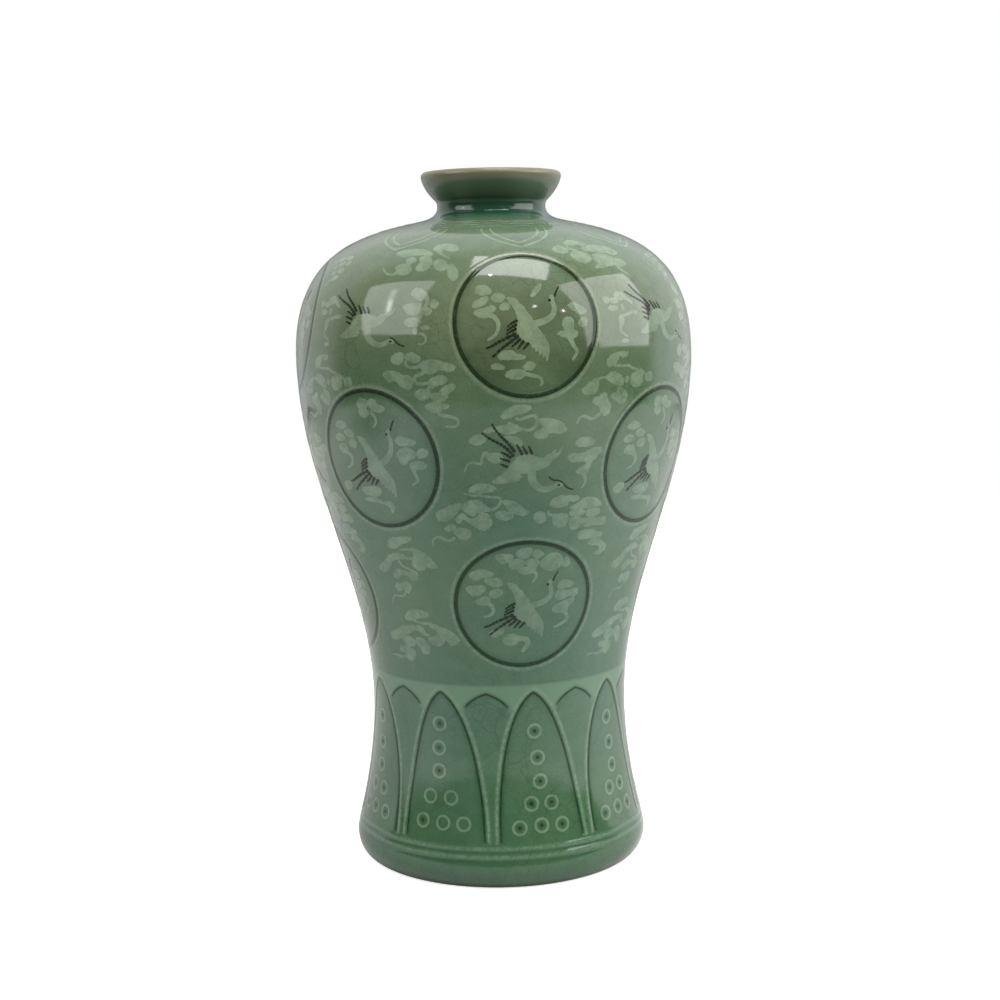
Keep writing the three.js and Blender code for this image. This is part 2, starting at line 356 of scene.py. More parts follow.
def carved_wall(theta, s, lift=0.0):
    """Points and normals of the carved wall, raised by lift, and its tones."""
    e, r = 0.12, radius(s)
    h, tone = relief(theta, s)
    slope_s = (relief(theta, s + e)[0] - relief(theta, s - e)[0]) / (2 * e)
    slope_a = (relief(theta + e / r, s)[0] - relief(theta - e / r, s)[0]) / (2 * e)
    along, across, out = wall_frame(theta, s)
    z = np.interp(s, S, RZ[:, 1])
    base = np.stack([r * np.sin(theta), -r * np.cos(theta), z], -1)
    normal = out - slope_s[:, None] * along - slope_a[:, None] * across
    normal /= np.linalg.norm(normal, axis=1)[:, None]
    return base + (h + lift)[:, None] * out, normal, tone


# The glazed body: a turned shell with the carving in its surface

def body_rows():
    """Lengths along the outline of the mesh rows: close at the foot, beads, neck and lip."""
    runs = [(0, 14, 0.9), (14, FINE_FROM, 0.55), (FINE_FROM, 322, 2.0), (322, LENGTH, 0.6)]
    rows = [np.linspace(a, b, round((b - a) / step), endpoint=False) for a, b, step in runs]
    return np.append(np.concatenate(rows), LENGTH)


def inner_wall(from_z, to_z, count, wall):
    pts = []
    for s in np.linspace(length_at(from_z), length_at(to_z), count):
        i = np.searchsorted(S, s)
        pts.append(tuple(RZ[i] + wall * np.array([-TANGENT[i, 1], TANGENT[i, 0]])))
    return pts


def inner_profile():
    """Inside of the vase from the lip down to the middle of its floor, as (radius, height)."""
    return [(27.4, 299.9), (26.3, 299.6), (25.3, 299.0), (24.6, 298.2),
            *inner_wall(296.5, 287, 7, NECK_WALL), (BORE_R, 284), (BORE_R, 281), (BORE_R + 0.4, 277.4),
            (BORE_R + 2.4, 275.4), *inner_wall(279.3, 14, 40, WALL),
            (56.5, FLOOR + 1.2), (54, FLOOR), (30, FLOOR), (6, FLOOR)]


def foot_profile():
    """Underside from the middle of the recess out to the foot ring."""
    return [(6, RECESS), (30, RECESS), (RING_IN - 2.4, RECESS), (RING_IN - 1.8, RECESS - 0.5),
            (RING_IN - 0.4, 0.5), (RING_IN + 0.3, 0.0), (55, 0.0)]


def turned_rows(profile):
    """Points and normals of a profile turned round the axis."""
    p = np.array(profile, float)
    theta = -math.pi + 2 * math.pi * np.arange(COLUMNS) / COLUMNS
    t = np.gradient(p, axis=0)
    t /= np.hypot(*t.T)[:, None]
    sin, cos, flat = np.sin(theta), np.cos(theta), 0 * theta
    points = np.stack([p[:, :1] * sin, -p[:, :1] * cos, p[:, 1:] + flat], -1)
    normals = np.stack([t[:, 1:] * sin, -t[:, 1:] * cos, flat - t[:, :1]], -1)
    return points.reshape(-1, 3), normals.reshape(-1, 3)


def near_carving(theta, s):
    """Which cells of the wall lie near the carving."""
    near = np.abs(ring_distance(theta, s) - NEAR_AT) < NEAR_LINE
    near |= np.abs(petal_distance(theta, s) - NEAR_AT) < NEAR_LINE
    near |= np.abs(tip_distance(theta, s)) < NEAR_TIP
    near |= np.abs(s - BAND_TOP) < NEAR_BAND
    near |= (s > WAVES[0] - 2) & (s < WAVES[-1] + 4)
    return near & (s > FINE_FROM) & (s < FINE_TO)


def cell_faces(near, j, i):
    """Faces of one cell as (row, column) places on the fine grid: the squares of a split cell, or one
    face with the points that split cells beside it add to its edges."""
    rows, columns = near.shape
    low, high, left, right = j * SPLIT, (j + 1) * SPLIT, i * SPLIT, (i + 1) * SPLIT
    if near[j, i]:
        return [[(b, a), (b, a + 1), (b + 1, a + 1), (b + 1, a)]
                for b in range(low, high) for a in range(left, right)]
    added = range(1, SPLIT)
    corners = [(low, left)]
    if j > 0 and near[j - 1, i]:
        corners += [(low, left + k) for k in added]
    corners.append((low, right))
    if near[j, (i + 1) % columns]:
        corners += [(low + k, right) for k in added]
    corners.append((high, right))
    if j < rows - 1 and near[j + 1, i]:
        corners += [(high, right - k) for k in added]
    corners.append((high, left))
    if near[j, i - 1]:
        corners += [(high - k, left) for k in added]
    return [corners]


def wall_mesh():
    """The carved wall: its points with their normals and tones, its faces and their places in the baked
    picture, and its rings of points at the foot and at the lip."""
    rows = body_rows()
    nr, nf = len(rows) - 1, COLUMNS * SPLIT
    fine_rows = np.interp(np.arange(nr * SPLIT + 1) / SPLIT, np.arange(nr + 1), rows)
    fine_theta = -math.pi + 2 * math.pi * np.arange(nf) / nf
    middles = np.meshgrid(fine_theta[::SPLIT] + math.pi / COLUMNS, (rows[:-1] + rows[1:]) / 2)
    near = near_carving(*middles)
    used = np.zeros((nr * SPLIT + 1, nf), bool)
    used[::SPLIT, ::SPLIT] = True
    cj, ci = np.nonzero(near)
    for dj, di in np.ndindex(SPLIT + 1, SPLIT + 1):
        used[cj * SPLIT + dj, (ci * SPLIT + di) % nf] = True
    index = np.full(used.shape, -1)
    index[used] = np.arange(used.sum())
    at_row, at_col = np.nonzero(used)
    wall = carved_wall(fine_theta[at_col], fine_rows[at_row])
    faces, uvs = [], []
    v_of = WALL_V + (1 - WALL_V) * fine_rows / LENGTH
    for j, i in np.ndindex(near.shape):
        for corners in cell_faces(near, j, i):
            faces.append([int(index[b, a % nf]) for b, a in corners])
            uvs.extend((a / nf, float(v_of[b])) for b, a in corners)
    return wall, faces, uvs, index[0, ::SPLIT].tolist(), index[-1, ::SPLIT].tolist()


def ring_faces(rings, v0, v1):
    """Faces between rings of points, and their places in the baked picture."""
    faces, uvs = [], []
    last, nc = len(rings) - 1, COLUMNS
    for k in range(last):
        va, vb = (v0 + (v1 - v0) * x / last for x in (k, k + 1))
        for i in range(nc):
            m = (i + 1) % nc
            faces.append([rings[k][i], rings[k][m], rings[k + 1][m], rings[k + 1][i]])
            uvs.extend([(i / nc, va), ((i + 1) / nc, va), ((i + 1) / nc, vb), (i / nc, vb)])
    return faces, uvs


def make_body():
    """One closed skin: the carved wall, the inside joined to it at the lip and the underside at the foot."""
    (points, normals, wall_tone), faces, uvs, foot_edge, lip_edge = wall_mesh()
    turned = []
    for profile in (inner_profile(), foot_profile()):
        p, n = turned_rows(profile)
        turned.append(np.arange(len(points), len(points) + len(p)).reshape(-1, COLUMNS).tolist())
        points, normals = np.concatenate([points, p]), np.concatenate([normals, n])
    inner, under = [lip_edge, *turned[0]], [*turned[1], foot_edge]
    for rings, v in ((inner, INNER_V), (under, UNDER_V)):
        more = ring_faces(rings, *v)
        faces += more[0]
        uvs += more[1]
    turns = 2 * math.pi * np.arange(COLUMNS) / COLUMNS
    for ring, (u, v) in ((inner[-1], FLOOR_END), (under[0][::-1], UNDER_END)):
        faces.append(ring)
        uvs.extend((u + END_R * math.cos(a), v + END_R * math.sin(a)) for a in turns)

    obj = new_object("vase_body", points, faces, normals)
    layer = obj.data.uv_layers.new(name="OFBake")
    layer.data.foreach_set("uv", np.array(uvs, np.float32).ravel())
    tone = np.zeros((len(points), 4), np.float32)
    tone[:len(wall_tone)] = wall_tone
    attribute = obj.data.attributes.new("tone", "FLOAT_COLOR", "POINT")
    attribute.data.foreach_set("color", tone.ravel())
    return obj


def new_object(name, verts, faces, normals):
    mesh = bpy.data.meshes.new(name)
    mesh.from_pydata((np.asarray(verts) * MM).tolist(), [], [list(map(int, f)) for f in faces])
    mesh.polygons.foreach_set("use_smooth", [True] * len(faces))
    normals = normals / np.linalg.norm(normals, axis=1)[:, None]
    mesh.normals_split_custom_set_from_vertices(normals.tolist())
    obj = bpy.data.objects.new(name, mesh)
    bpy.context.collection.objects.link(obj)
    return obj


# Dark slip in the carved lines

def make_line(name, lines, closed, width, lift=LINE_LIFT):
    """Strips of slip along lines on the wall, given as (angle, s), that lie in the carving."""
    verts, normals, faces = [], [], []
    count = 0
    section = [(side, lift) for side in (0.5, 0.25, 0, -0.25, -0.5)]
    section += [(-0.3, -LINE_IN), (0.3, -LINE_IN)]
    m = len(section)
    for line in lines:
        p = np.array(line, float)
        n = len(p)
        r = radius(p[:, 1])
        step = np.roll(p, -1, 0) - np.roll(p, 1, 0) if closed else np.gradient(p, axis=0)
        step[:, 0] = fold(step[:, 0], 2 * math.pi)
        along = np.stack([step[:, 0] * r, step[:, 1]], -1)
        along /= np.hypot(*along.T)[:, None]
        ends = np.minimum(np.arange(n), np.arange(n)[::-1])
        taper = np.ones(n) if closed else np.clip(0.55 + 0.15 * ends, 0, 1)
        rows, outs = [], []
        for side, up in section:
            off = side * width * taper
            q, out, _ = carved_wall(p[:, 0] - off * along[:, 1] / r, p[:, 1] + off * along[:, 0], up)
            rows.append(q)
            outs.append(out if up > 0 else -out)
        verts.append(np.stack(rows, 1).reshape(-1, 3))
        normals.append(np.stack(outs, 1).reshape(-1, 3))
        for i in range(n if closed else n - 1):
            j = (i + 1) % n
            for k in range(m):
                q = (k + 1) % m
                faces.append([count + x for x in (m * i + k, m * i + q, m * j + q, m * j + k)])
        if not closed:
            faces.append([count + k for k in range(m)][::-1])
            faces.append([count + m * (n - 1) + k for k in range(m)])
        count += m * n
    return new_object(name, np.concatenate(verts), faces, np.concatenate(normals))


# Inlay drawn flat in millimetres from a place on the wall: x round it and y up it

def lobe(x, y, rx, ry, turn=0):
    a = 2 * math.pi * np.arange(18) / 18
    c, s = math.cos(math.radians(turn)), math.sin(math.radians(turn))
    px, py = rx * np.cos(a), ry * np.sin(a)
    return np.stack([x + c * px - s * py, y + s * px + c * py], -1)


def stroke(points, w0, w1, barbs=0.0):
    """A brush stroke through the points, from width w0 to w1, its sides barbed like a feather's."""
    p = smooth_line(points)
    t = np.gradient(p, axis=0)
    t /= np.hypot(*t.T)[:, None]
    w = np.linspace(w0, w1, len(p)) / 2
    w = (w * np.where(np.arange(len(p)) % 2, 1 + barbs, 1 - barbs))[:, None]
    side = np.stack([-t[:, 1], t[:, 0]], -1) * w
    tip, tail = p[-1:] + 0.7 * t[-1:] * w[-1:], p[:1] - 0.7 * t[:1] * w[:1]
    return np.concatenate([p + side, tip, (p - side)[::-1], tail])


def swollen(points, by):
    """A closed outline moved outwards all round."""
    ahead = np.roll(points, -1, 0)
    step = ahead - np.roll(points, 1, 0)
    step /= np.hypot(*step.T)[:, None]
    turning = np.sign(np.sum(points[:, 0] * ahead[:, 1] - ahead[:, 0] * points[:, 1]))
    return points + by * turning * np.stack([step[:, 1], -step[:, 0]], -1)


def ragged(points):
    """An outline whose points are pushed about a little, by a fixed rule."""
    mixed = np.sin(points @ np.array([[12.99, 39.35], [78.23, 11.14]])) * 4375.85
    return points + RAGGED * (mixed % 1 - 0.5)


def pairs(numbers):
    """Points from a run of x and y in turn."""
    return np.reshape(np.array(numbers, float), (-1, 2))


def drawn(lobes, strokes, fuller=CLOUD_FULLER):
    """Closed lobes, each given as x and y in turn, and strokes, each as its two widths, then x and y."""
    shapes = [ragged(swollen(smooth_line(pairs(p), 4, True), fuller)) for p in lobes]
    return shapes + [stroke(pairs(q[2:]), *q[:2]) for q in strokes]


def within(points, shape):
    """Which points lie inside an outline."""
    x, y = points[:, 0, None], points[:, 1, None]
    ax, ay = shape[:, 0], shape[:, 1]
    bx, by = np.roll(ax, -1), np.roll(ay, -1)
    rise = np.where(by == ay, 1e-9, by - ay)
    crossed = ((ay > y) != (by > y)) & (x < ax + (bx - ax) * (y - ay) / rise)
    return (crossed * np.sign(rise)).sum(1) != 0


def fill(shapes):
    """Triangles of the union of some outlines, with inner points so that they can bend."""
    verts, faces = [], []
    for shape in shapes:
        faces.append(list(range(len(verts), len(verts) + len(shape))))
        verts += [Vector((float(x), float(y))) for x, y in shape]
    low = np.min([np.min(s, 0) for s in shapes], 0)
    high = np.max([np.max(s, 0) for s in shapes], 0)
    for x in np.arange(low[0] + 1.1, high[0], FILL_STEP):
        for y in np.arange(low[1] + 1.1, high[1], FILL_STEP):
            verts.append(Vector((float(x), float(y))))
    out = geometry.delaunay_2d_cdt(verts, [], faces, 0, 1e-4, False)
    corners = np.array([v[:] for v in out[0]])
    every = np.array(out[2])
    inside = np.zeros(len(every), bool)
    for shape in shapes:
        inside |= within(corners[every].mean(1), shape)
    tris = every[inside]
    keep, tris = np.unique(tris, return_inverse=True)
    tris = tris.reshape(-1, 3)
    flat = corners[keep]
    a, b, c = (flat[tris[:, k]] for k in range(3))
    turned = (b - a)[:, 0] * (c - a)[:, 1] < (c - a)[:, 0] * (b - a)[:, 1]
    tris[turned] = tris[turned][:, ::-1]
    return flat, tris.tolist()


def make_inlay(name, placed, lift):
    """Motifs laid on the wall as one thin piece: a closed skin from just proud of it to below."""
    verts, normals, faces = [], [], []
    count = 0
    for (flat, tris), turn, s0 in placed:
        s = s0 + flat[:, 1]
        th = math.radians(turn) + flat[:, 0] / radius(s)
        n = len(flat)
        top, out, _ = carved_wall(th, s, lift)
        verts += [top, carved_wall(th, s, -INLAY_IN)[0]]
        normals += [out, -out]
        edges = set()
        for f in tris:
            faces.append([count + v for v in f])
            faces.append([count + n + v for v in f[::-1]])
            edges.update(zip(f, f[1:] + f[:1]))
        for a, b in sorted(edges):
            if (b, a) not in edges:
                faces.append([count + b, count + a, count + n + a, count + n + b])
        count += 2 * n
    return new_object(name, np.concatenate(verts), faces, np.concatenate(normals))


def feathers(plumes, quills):
    """Black barbed strokes: long plumes of the tail and short quills, each as x and y in turn."""
    return [stroke(pairs(p), *PLUME) for p in plumes] + [stroke(pairs(p), *QUILL) for p in quills]


def rising_crane(dx, dy):
    """Crane flying up to the right, its head moved by dx and dy: white wings, body and neck, and
    black tail, quills, beak and eye."""
    wings = (-7.5, 9.6, -4.5, 9, -2, 6.5, 0.5, 3.3, 2, 1, 3.4, -1.2, 5.5, -4.5, 7.2, -7, 8.3, -10,
             8.4, -12.5, 7.3, -15.6, 6.8, -13.4, 5.9, -14.3, 5.6, -12.4, 4.5, -13.2, 4.2, -11.3, 3, -11.9,
             2.7, -10.2, 1.5, -10.5, 0.9, -8.6, -1.4, -7.8, -3, -6, -4.2, -4, -4.2, -1.5, -3.8, 0.8,
             -4, 2.6, -4.8, 4.8, -6.4, 7.2)
    neck = (1.5, -1.4, 4.5, -0.7, 8 + dx / 2, 0.5 + dy / 3, 10.4 + dx, 2.5 + 0.6 * dy, 11.1 + dx,
            5 + 0.9 * dy, 10.6 + dx, 7.6 + dy)
    white = drawn([wings], [(2.9, 1.8, *neck)], CRANE_FULLER)
    white.append(lobe(10.3 + dx, 8.7 + dy, 1.1, 1.9, -12))
    black = feathers([(-4.6, -4.8, -8.8, -6.6, -12, -8.2, -14.5, -9.6, -16.5, -10.2),
                      (-3.6, -5.6, -7.5, -8.4, -10.5, -10.6, -14.1, -13.8)],
                     [(-3.9, 0.3, -5.8, -0.5, -8, -2.2), (-4.2, -1.2, -6.2, -2.2, -8.2, -3.6),
                      (-4.4, -2.8, -6.4, -3.8, -8.4, -4.9), (-3.0, -6.8, -4.6, -8.4, -6.4, -9.8),
                      (-1.6, -7.6, -2.9, -9.2, -4.1, -10.8), (0.2, -8.4, -0.8, -9.6, -2, -10.9)])
    beak = (0.9, 0.5, 11.6 + dx, 9.8 + dy, 12.4 + dx, 11.8 + dy, 13.7 + dx, 14 + dy)
    return white, black + drawn([], [beak]) + [lobe(9.4 + dx, 8.2 + dy, 0.55, 0.7)]


def falling_crane(squash, crest_from):
    """Crane flying down to the right, its height squashed and its crest begun at a later point."""
    wings = (-14, -9.6, -12.5, -8.5, -10, -6.5, -8, -4.5, -6.8, -2.5, -5.5, -1, -4, 0.5, -1.5, 1.5, 1, 1.3,
             3.5, 0.3, 6, -0.2, 7.5, 1, 9.5, 1.5, 11.4, 3, 11.2, 1.5, 12.5, 2, 14.2, 4.2, 13.5, 2, 12.5, 0.5,
             10.5, -1, 8.5, -3.5, 6, -4.8, 3.5, -5.5, 1.5, -6.3, -1.5, -6.5, -3, -7, -2, -8, -4, -8.5,
             -3, -9.2, -5, -9.8, -7, -10, -10, -10.5, -13, -10.5)
    neck = (2, -5.8, 1.8, -8.4, 3, -11, 5.4, -13, 8, -13.6, 10.2, -13.1, 12, -12)
    white = drawn([wings], [(3.5, 2.0, *neck)], CRANE_FULLER) + [lobe(13.2, -11.9, 2.0, 1.2, -10)]
    black = feathers([(-5.2, 2.6, -7, 5, -9, 7.3, -11, 9.3, -13, 11.8, -14.4, 14.2),
                      (-5.6, 0.8, -7.5, 3, -10, 5.3, -13, 7, -16, 8.8, -18.4, 10.6)],
                     [(-6.6, 0.2, -8.6, 1.6, -10.6, 2.6), (-7.2, -1.3, -9, -0.6, -11, 0.1),
                      (-7.8, -3.6, -9.2, -3, -10.7, -2.3), (-2.2, 1.3, -3.4, 3.6, -4.6, 5.7),
                      (-0.3, 1.6, -1.1, 3, -2.2, 5), (1.7, 1.6, 1.2, 2.8, 0.3, 4.8)])
    crest = (8.9, -8.3, 10.5, -9.6, 13, -10, 14.6, -10.9, 16, -12.5, 17.5, -13.6, 19.4, -14.2)
    black += drawn([], [(0.55, 0.7, *crest[2 * crest_from:])]) + [lobe(13.2, -12, 0.6, 0.5)]
    return [q * (1, squash) for q in white], [q * (1, squash) for q in black]


def cloud_wide():
    """Broad cloud with curled lobes and a long tail."""
    return drawn([
        (-21.5, 13, -20.5, 15.5, -18, 16.5, -14, 16, -11.3, 15, -11.8, 13.6, -14.7, 13, -17.5, 12.5),
        (-35, 3, -34, 4.5, -31, 6.2, -28, 7.6, -25.3, 8, -24.8, 6.8, -26, 5, -28, 2.4, -30, 0.8, -32, 0.4,
         -34, 1),
        (-24.6, 6.4, -23.2, 8, -20.6, 9.4, -17.4, 9.1, -15.3, 7.4, -13.2, 5.4, -15, 4.6, -18.2, 4.3, -19.5,
         3, -22, 3.9),
        (-26.6, 0.6, -26.2, 2.4, -24.6, 3.6, -23.2, 3.2, -22, 1.8, -20, 1.2, -18, 2.4, -16.5, 4, -14, 3.3,
         -12.5, 1.2, -12.4, -0.8, -13.5, -2.6, -15.6, -3.3, -18, -2.4, -20.5, -0.7, -22.6, 0.9, -24, 1.6,
         -25.3, -0.5),
        (-31.2, -3.2, -29.7, -1.4, -27.9, -1.4, -26.4, -3, -23.8, -2.8, -21.6, -3.4, -20.7, -5, -21.5, -7,
         -23.4, -7.6, -25.4, -7, -27, -5, -28.4, -3.2, -29.8, -4.1),
        (-8.2, 8.9, -5.6, 9.2, -2.9, 8, -0.6, 6.5, 2.1, 4.2, 1.8, 3.2, 0, 2.5, -2, 3, -5.3, 4.8, -7, 6.8),
        (-10.8, 3.6, -9.4, 4.6, -7, 4.5, -4, 3.2, -4.7, 1.5, -7, 0.8, -9.5, 1.5),
    ], [
        (0.9, 1.4, -23.8, 12.4, -20, 11.6, -16.5, 11.4, -12.5, 10.8, -9.6, 10.4, -9, 8.4, -10.6, 6.2, -13,
         5.4),
        (1.7, 0.8, -27.4, -7, -29, -8.1, -31, -8, -33, -6.9, -35.3, -7, -36.4, -9, -36, -11.2),
    ])


def cloud_bank():
    """Bank of short lobes trailing off downwards."""
    return drawn([
        (11.1, 7, 12.4, 8.9, 14.7, 10.1, 18, 10.2, 21.8, 9.9, 23.8, 9.2, 22.6, 7.8, 19, 7.8, 18.4, 6, 16,
         5.8, 13, 5.3),
        (20, 5.1, 22.4, 6.2, 25, 8, 27.6, 8.9, 31.2, 8.3, 33.8, 6.8, 34.6, 5.2, 31, 4.7, 27, 4.3, 22, 4.1),
        (4.7, 2.2, 5.8, 3.6, 8.4, 3.6, 9.4, 2, 9, -0.4, 7.2, -1, 5.4, 0),
        (12.4, 1.8, 14.7, 2.5, 18, 2.3, 19.1, 0.6, 18.5, -1.7, 16.5, -3.5, 14.5, -3.3, 13, -1.8),
        (19.8, 2.6, 21.8, 3.8, 25, 3.6, 27, 2.8, 25.5, 1.5, 21.5, 1.2),
        (27.5, 3, 30.5, 3.9, 33.6, 3.2, 34, 1.6, 31.5, 0.5, 28, 0.8),
        (20, -0.2, 22.5, 0.5, 25.2, -0.3, 25, -3, 23, -4.6, 20.5, -4),
        (26.3, -0.6, 29.5, -0.2, 33, -0.8, 36.5, -0.5, 37.4, -2.3, 35.8, -3.8, 31, -3.5, 27.2, -4.1, 25.8,
         -2.5),
        (24.1, -7.6, 25.3, -6.1, 28.2, -5.5, 31, -5.6, 33, -6.8, 35.6, -7.4, 35.5, -9, 32, -9, 28.2, -9.4,
         25.2, -9.5),
        (29.1, -11.6, 30.6, -10.2, 33.5, -9.9, 36.5, -11.4, 38.6, -13.4, 38, -15.6, 35, -17.2, 32.8, -16.6,
         35.3, -14.6, 34, -12.9, 31.5, -12.6),
    ], [
        (1.0, 1.3, 10.4, 4.2, 10.8, 2.6, 13, 1.9),
    ])


def cloud_stair():
    """Cloud whose lobes step down to a curled tail, left of an upper roundel."""
    return drawn([
        (-15, 6.6, -13.8, 8.4, -11.6, 9.2, -9.7, 9, -9.6, 7, -10.4, 5.2, -12, 4.8, -13.8, 5.2),
        (-8.9, 7.4, -7.6, 9, -5.6, 9.2, -3.6, 8.4, -2.4, 7.2, -3, 5.8, -5, 5.6, -7, 6.3),
        (-2.6, 4.6, -1, 5.8, 2, 6.3, 5, 6.2, 7.6, 5.2, 10, 4.8, 11.8, 3.8, 11, 2.4, 9.2, 1.8, 7.2, 2.8, 5,
         2.4, 2.4, 1.2, -0.2, 1.6, -1.6, 3),
        (-19, 0.4, -17.6, 1.8, -15, 2, -12.4, 1.6, -10, 0.4, -7.2, 0, -5.6, -1.4, -6, -3.6, -7.2, -5, -9.2,
         -4.8, -11.6, -3.4, -12.8, -2, -14.6, -1.6, -16, -2.4, -17.4, -1.4),
        (1.6, -1.4, 3.6, -0.2, 6, 0.3, 8.2, -0.4, 8.4, -1.8, 6.6, -2.9, 4.4, -3.4, 2, -4.6, 0.6, -4.4, 1.6,
         -3),
        (-5, -6.6, -3.6, -5.4, -1, -5, 1, -5, 1.8, -6.4, 0.8, -8, -1, -9.2, -3, -9, -4.4, -7.8),
        (5.6, -6, 6.8, -4.4, 9, -3.2, 11.2, -3, 11.4, -4.6, 9.6, -6.2, 7.6, -6.8),
        (1.8, -7.2, 4, -6.6, 6.4, -6.7, 8.4, -7.4, 8, -8.8, 6, -9.8, 4, -10, 2.4, -9),
        (-1, -12.2, 0.6, -10.8, 3, -10.2, 5.6, -10.6, 8.6, -11.2, 8.2, -12.3, 6.4, -12.6, 4.8, -13.8, 3, -14,
         1, -13.8),
    ], [
        (1.0, 1.3, -8.4, 6, -8.4, 4.4, -6.6, 3.6, -4, 3.6, -2.2, 4.2),
        (1.5, 1.3, -0.2, 2.2, -2, 1, -4.6, -0.2, -4.4, -2.4, -1.8, -2.9, 2, -2.3),
        (1.6, 0.9, 4.6, -13.2, 5, -15, 8, -15.6, 11, -16.4, 12.2, -17.6, 11.6, -19.4, 9.6, -20, 7.2, -19.7),
    ])


def cloud_drift():
    """Loose cloud on the right of an upper roundel."""
    return drawn([
        (-8.4, 5, -7.4, 7, -5, 8.4, -2.8, 8.8, -2.8, 7.4, -3.6, 5.4, -4.8, 4.2, -7, 3.4),
        (-2.4, 8.6, 0, 9, 2, 8.6, 1.6, 7.4, -1, 7),
        (-8.4, -0.4, -6.4, 1, -4, 0.8, -1.2, -0.8, 0, -2.4, -0.6, -4, -2.4, -4.4, -5.2, -3.4, -7.6, -2),
        (0.8, -1.8, 2.2, -1, 2.7, -2.4, 1.4, -3.2),
        (3.8, -1.6, 5, 0, 7.6, 0.8, 10, 0.4, 10.8, -1.6, 10.4, -3.6, 8.6, -5, 6.2, -5.2, 4.4, -4),
        (12.4, -1.8, 13.4, -0.2, 15.4, 0.4, 16.8, -1, 16.6, -2.8, 14.4, -3.4, 12.8, -3),
        (-19.6, -5.4, -18, -4, -16, -2.4, -13.6, -1.2, -12.4, -2.4, -12.6, -5, -14, -6.8, -16.6, -7.2, -18.8,
         -6.8),
        (-2.6, -5.2, -1, -5.6, 1, -6.6, 2.2, -8.4, 1.6, -10.6, -0.8, -11.6, -2.6, -10.8, -4.6, -9.4, -6, -9,
         -5, -7.8, -3.4, -7),
        (-13.6, -8.6, -11.6, -8.4, -9.6, -7, -8.4, -7.8, -7.6, -10, -6, -12.6, -6.6, -15.2, -8.8, -16, -10.6,
         -14.6, -11.2, -12.4, -13, -11.6, -14.6, -10.6),
    ], [
        (1.0, 1.3, -5, 3.7, -1, 3.4, 2.4, 3.4, 5, 2.2, 7.6, 1.6, 9, 0),
        (1.2, 1.2, 9.4, 1.4, 11, 0.4, 13, -0.8),
        (1.1, 1.1, -12.8, -1.6, -10.4, -0.8, -8, -1.2),
        (1.6, 0.8, -11, -15.4, -13.4, -16.8, -15.4, -17, -17.6, -16, -20, -16.4, -21, -18.8),
    ])


def cloud_pair():
    """Two arched clouds, one over the other, between the lower roundels."""
    return drawn([
        (-10, 20.5, -8.6, 23.4, -6, 24.6, -2.5, 25, 0.5, 25.4, 2.8, 25.3, 2.4, 24, 0, 22.8, -2.4, 22.2, -4.2,
         20.6, -7, 19.8),
        (1.8, 20.3, 5, 19.7, 8, 18.4, 10.4, 16.4, 12.3, 12.6, 10.2, 12, 7.6, 12.4, 5.6, 10.9, 3.2, 10.9, 1.4,
         12.8, 2, 15.6, 3, 17.6),
        (-17.6, 9.8, -16, 11.6, -13, 13.6, -10.6, 16, -8, 17.1, -5, 17.9, -2.4, 17, -0.6, 15.4, -3.4, 15.2,
         -6.4, 14.8, -9, 13.8, -11.4, 10.4, -13, 9, -15, 8),
        (-9.4, 6.6, -9, 9, -7, 10.2, -4, 9.6, -1, 9.2, 1.6, 10, 2.8, 8.6, 2.4, 6.8, 1, 5.6, -0.6, 5.8, -2.4,
         7.8, -5.6, 7.8, -7.6, 6.2),
        (-10, 2.6, -8.4, 4, -6, 3.8, -3.6, 4.6, -1.8, 3.6, -2, 1.6, -3.2, 0, -4.6, -0.3, -5.6, 1.2, -8, 0.3,
         -9.6, 1),
        (-7.8, -12, -6.6, -10, -4.6, -8.4, -1, -8, 2, -8.2, 4.2, -9.2, 3.6, -10.6, 1.2, -11, -1, -11.5, -3.4,
         -12.8, -6, -13),
        (3.6, -13, 7, -14.2, 10, -15.2, 13, -16.6, 15.4, -18.4, 16.4, -20.6, 14.8, -22.4, 12.6, -22.6, 10.8,
         -20.4, 9.6, -21.6, 8, -23, 5.6, -23.4, 3.2, -22, 2.6, -20.4, 5, -19.6, 7.2, -18.4, 6.6, -16.4, 4.6,
         -15.2),
        (-19, -21, -17, -19.6, -14, -18.4, -11.4, -16.8, -8, -15.8, -4.6, -15.4, -1.8, -15.3, 0.6, -15.9,
         1.4, -17.8, 3, -19, 1, -19.3, -1.4, -17.5, -4.2, -17.3, -7, -19, -10, -20.4, -12.4, -22, -15, -22.8,
         -18, -22.8),
        (-11, -23, -10.4, -21.4, -8, -20.6, -5.6, -21.4, -4.3, -22.6, -5.4, -24.4, -8, -25, -10.2, -24.6),
        (-3.8, -21.2, -1.6, -20.6, 0.4, -21.4, 2, -23.6, 2.4, -26, 1.2, -27.6, -0.8, -27.6, -2, -25.6, -3.6,
         -24),
        (-14, -26.4, -11.4, -25.6, -8.6, -25.6, -6, -26.6, -5.2, -28.4, -6, -30.6, -8, -31.6, -9.8, -30.6,
         -11, -28.4, -13.2, -28.2),
    ], [
        (1.0, 1.3, -3.8, 19.2, -1, 19.7, 2.2, 19.8),
        (1.0, 1.1, -0.8, 15.5, 1.6, 15.8, 3.2, 16.6),
        (1.0, 1.2, -5.4, 14.2, -4, 12, -1, 10.9, 1.6, 9.6),
        (0.95, 0.5, -4.6, 0.4, -6.6, -1.9, -9, -2.3, -11.6, -2.4, -13, -4, -13.8, -5.8),
        (1.0, 1.3, -3.2, -13, 0, -13.8, 4.2, -13.6),
        (1.7, 0.7, -9.6, -29.4, -13.4, -30.8, -16.4, -30.2, -19.8, -30.6),
    ])


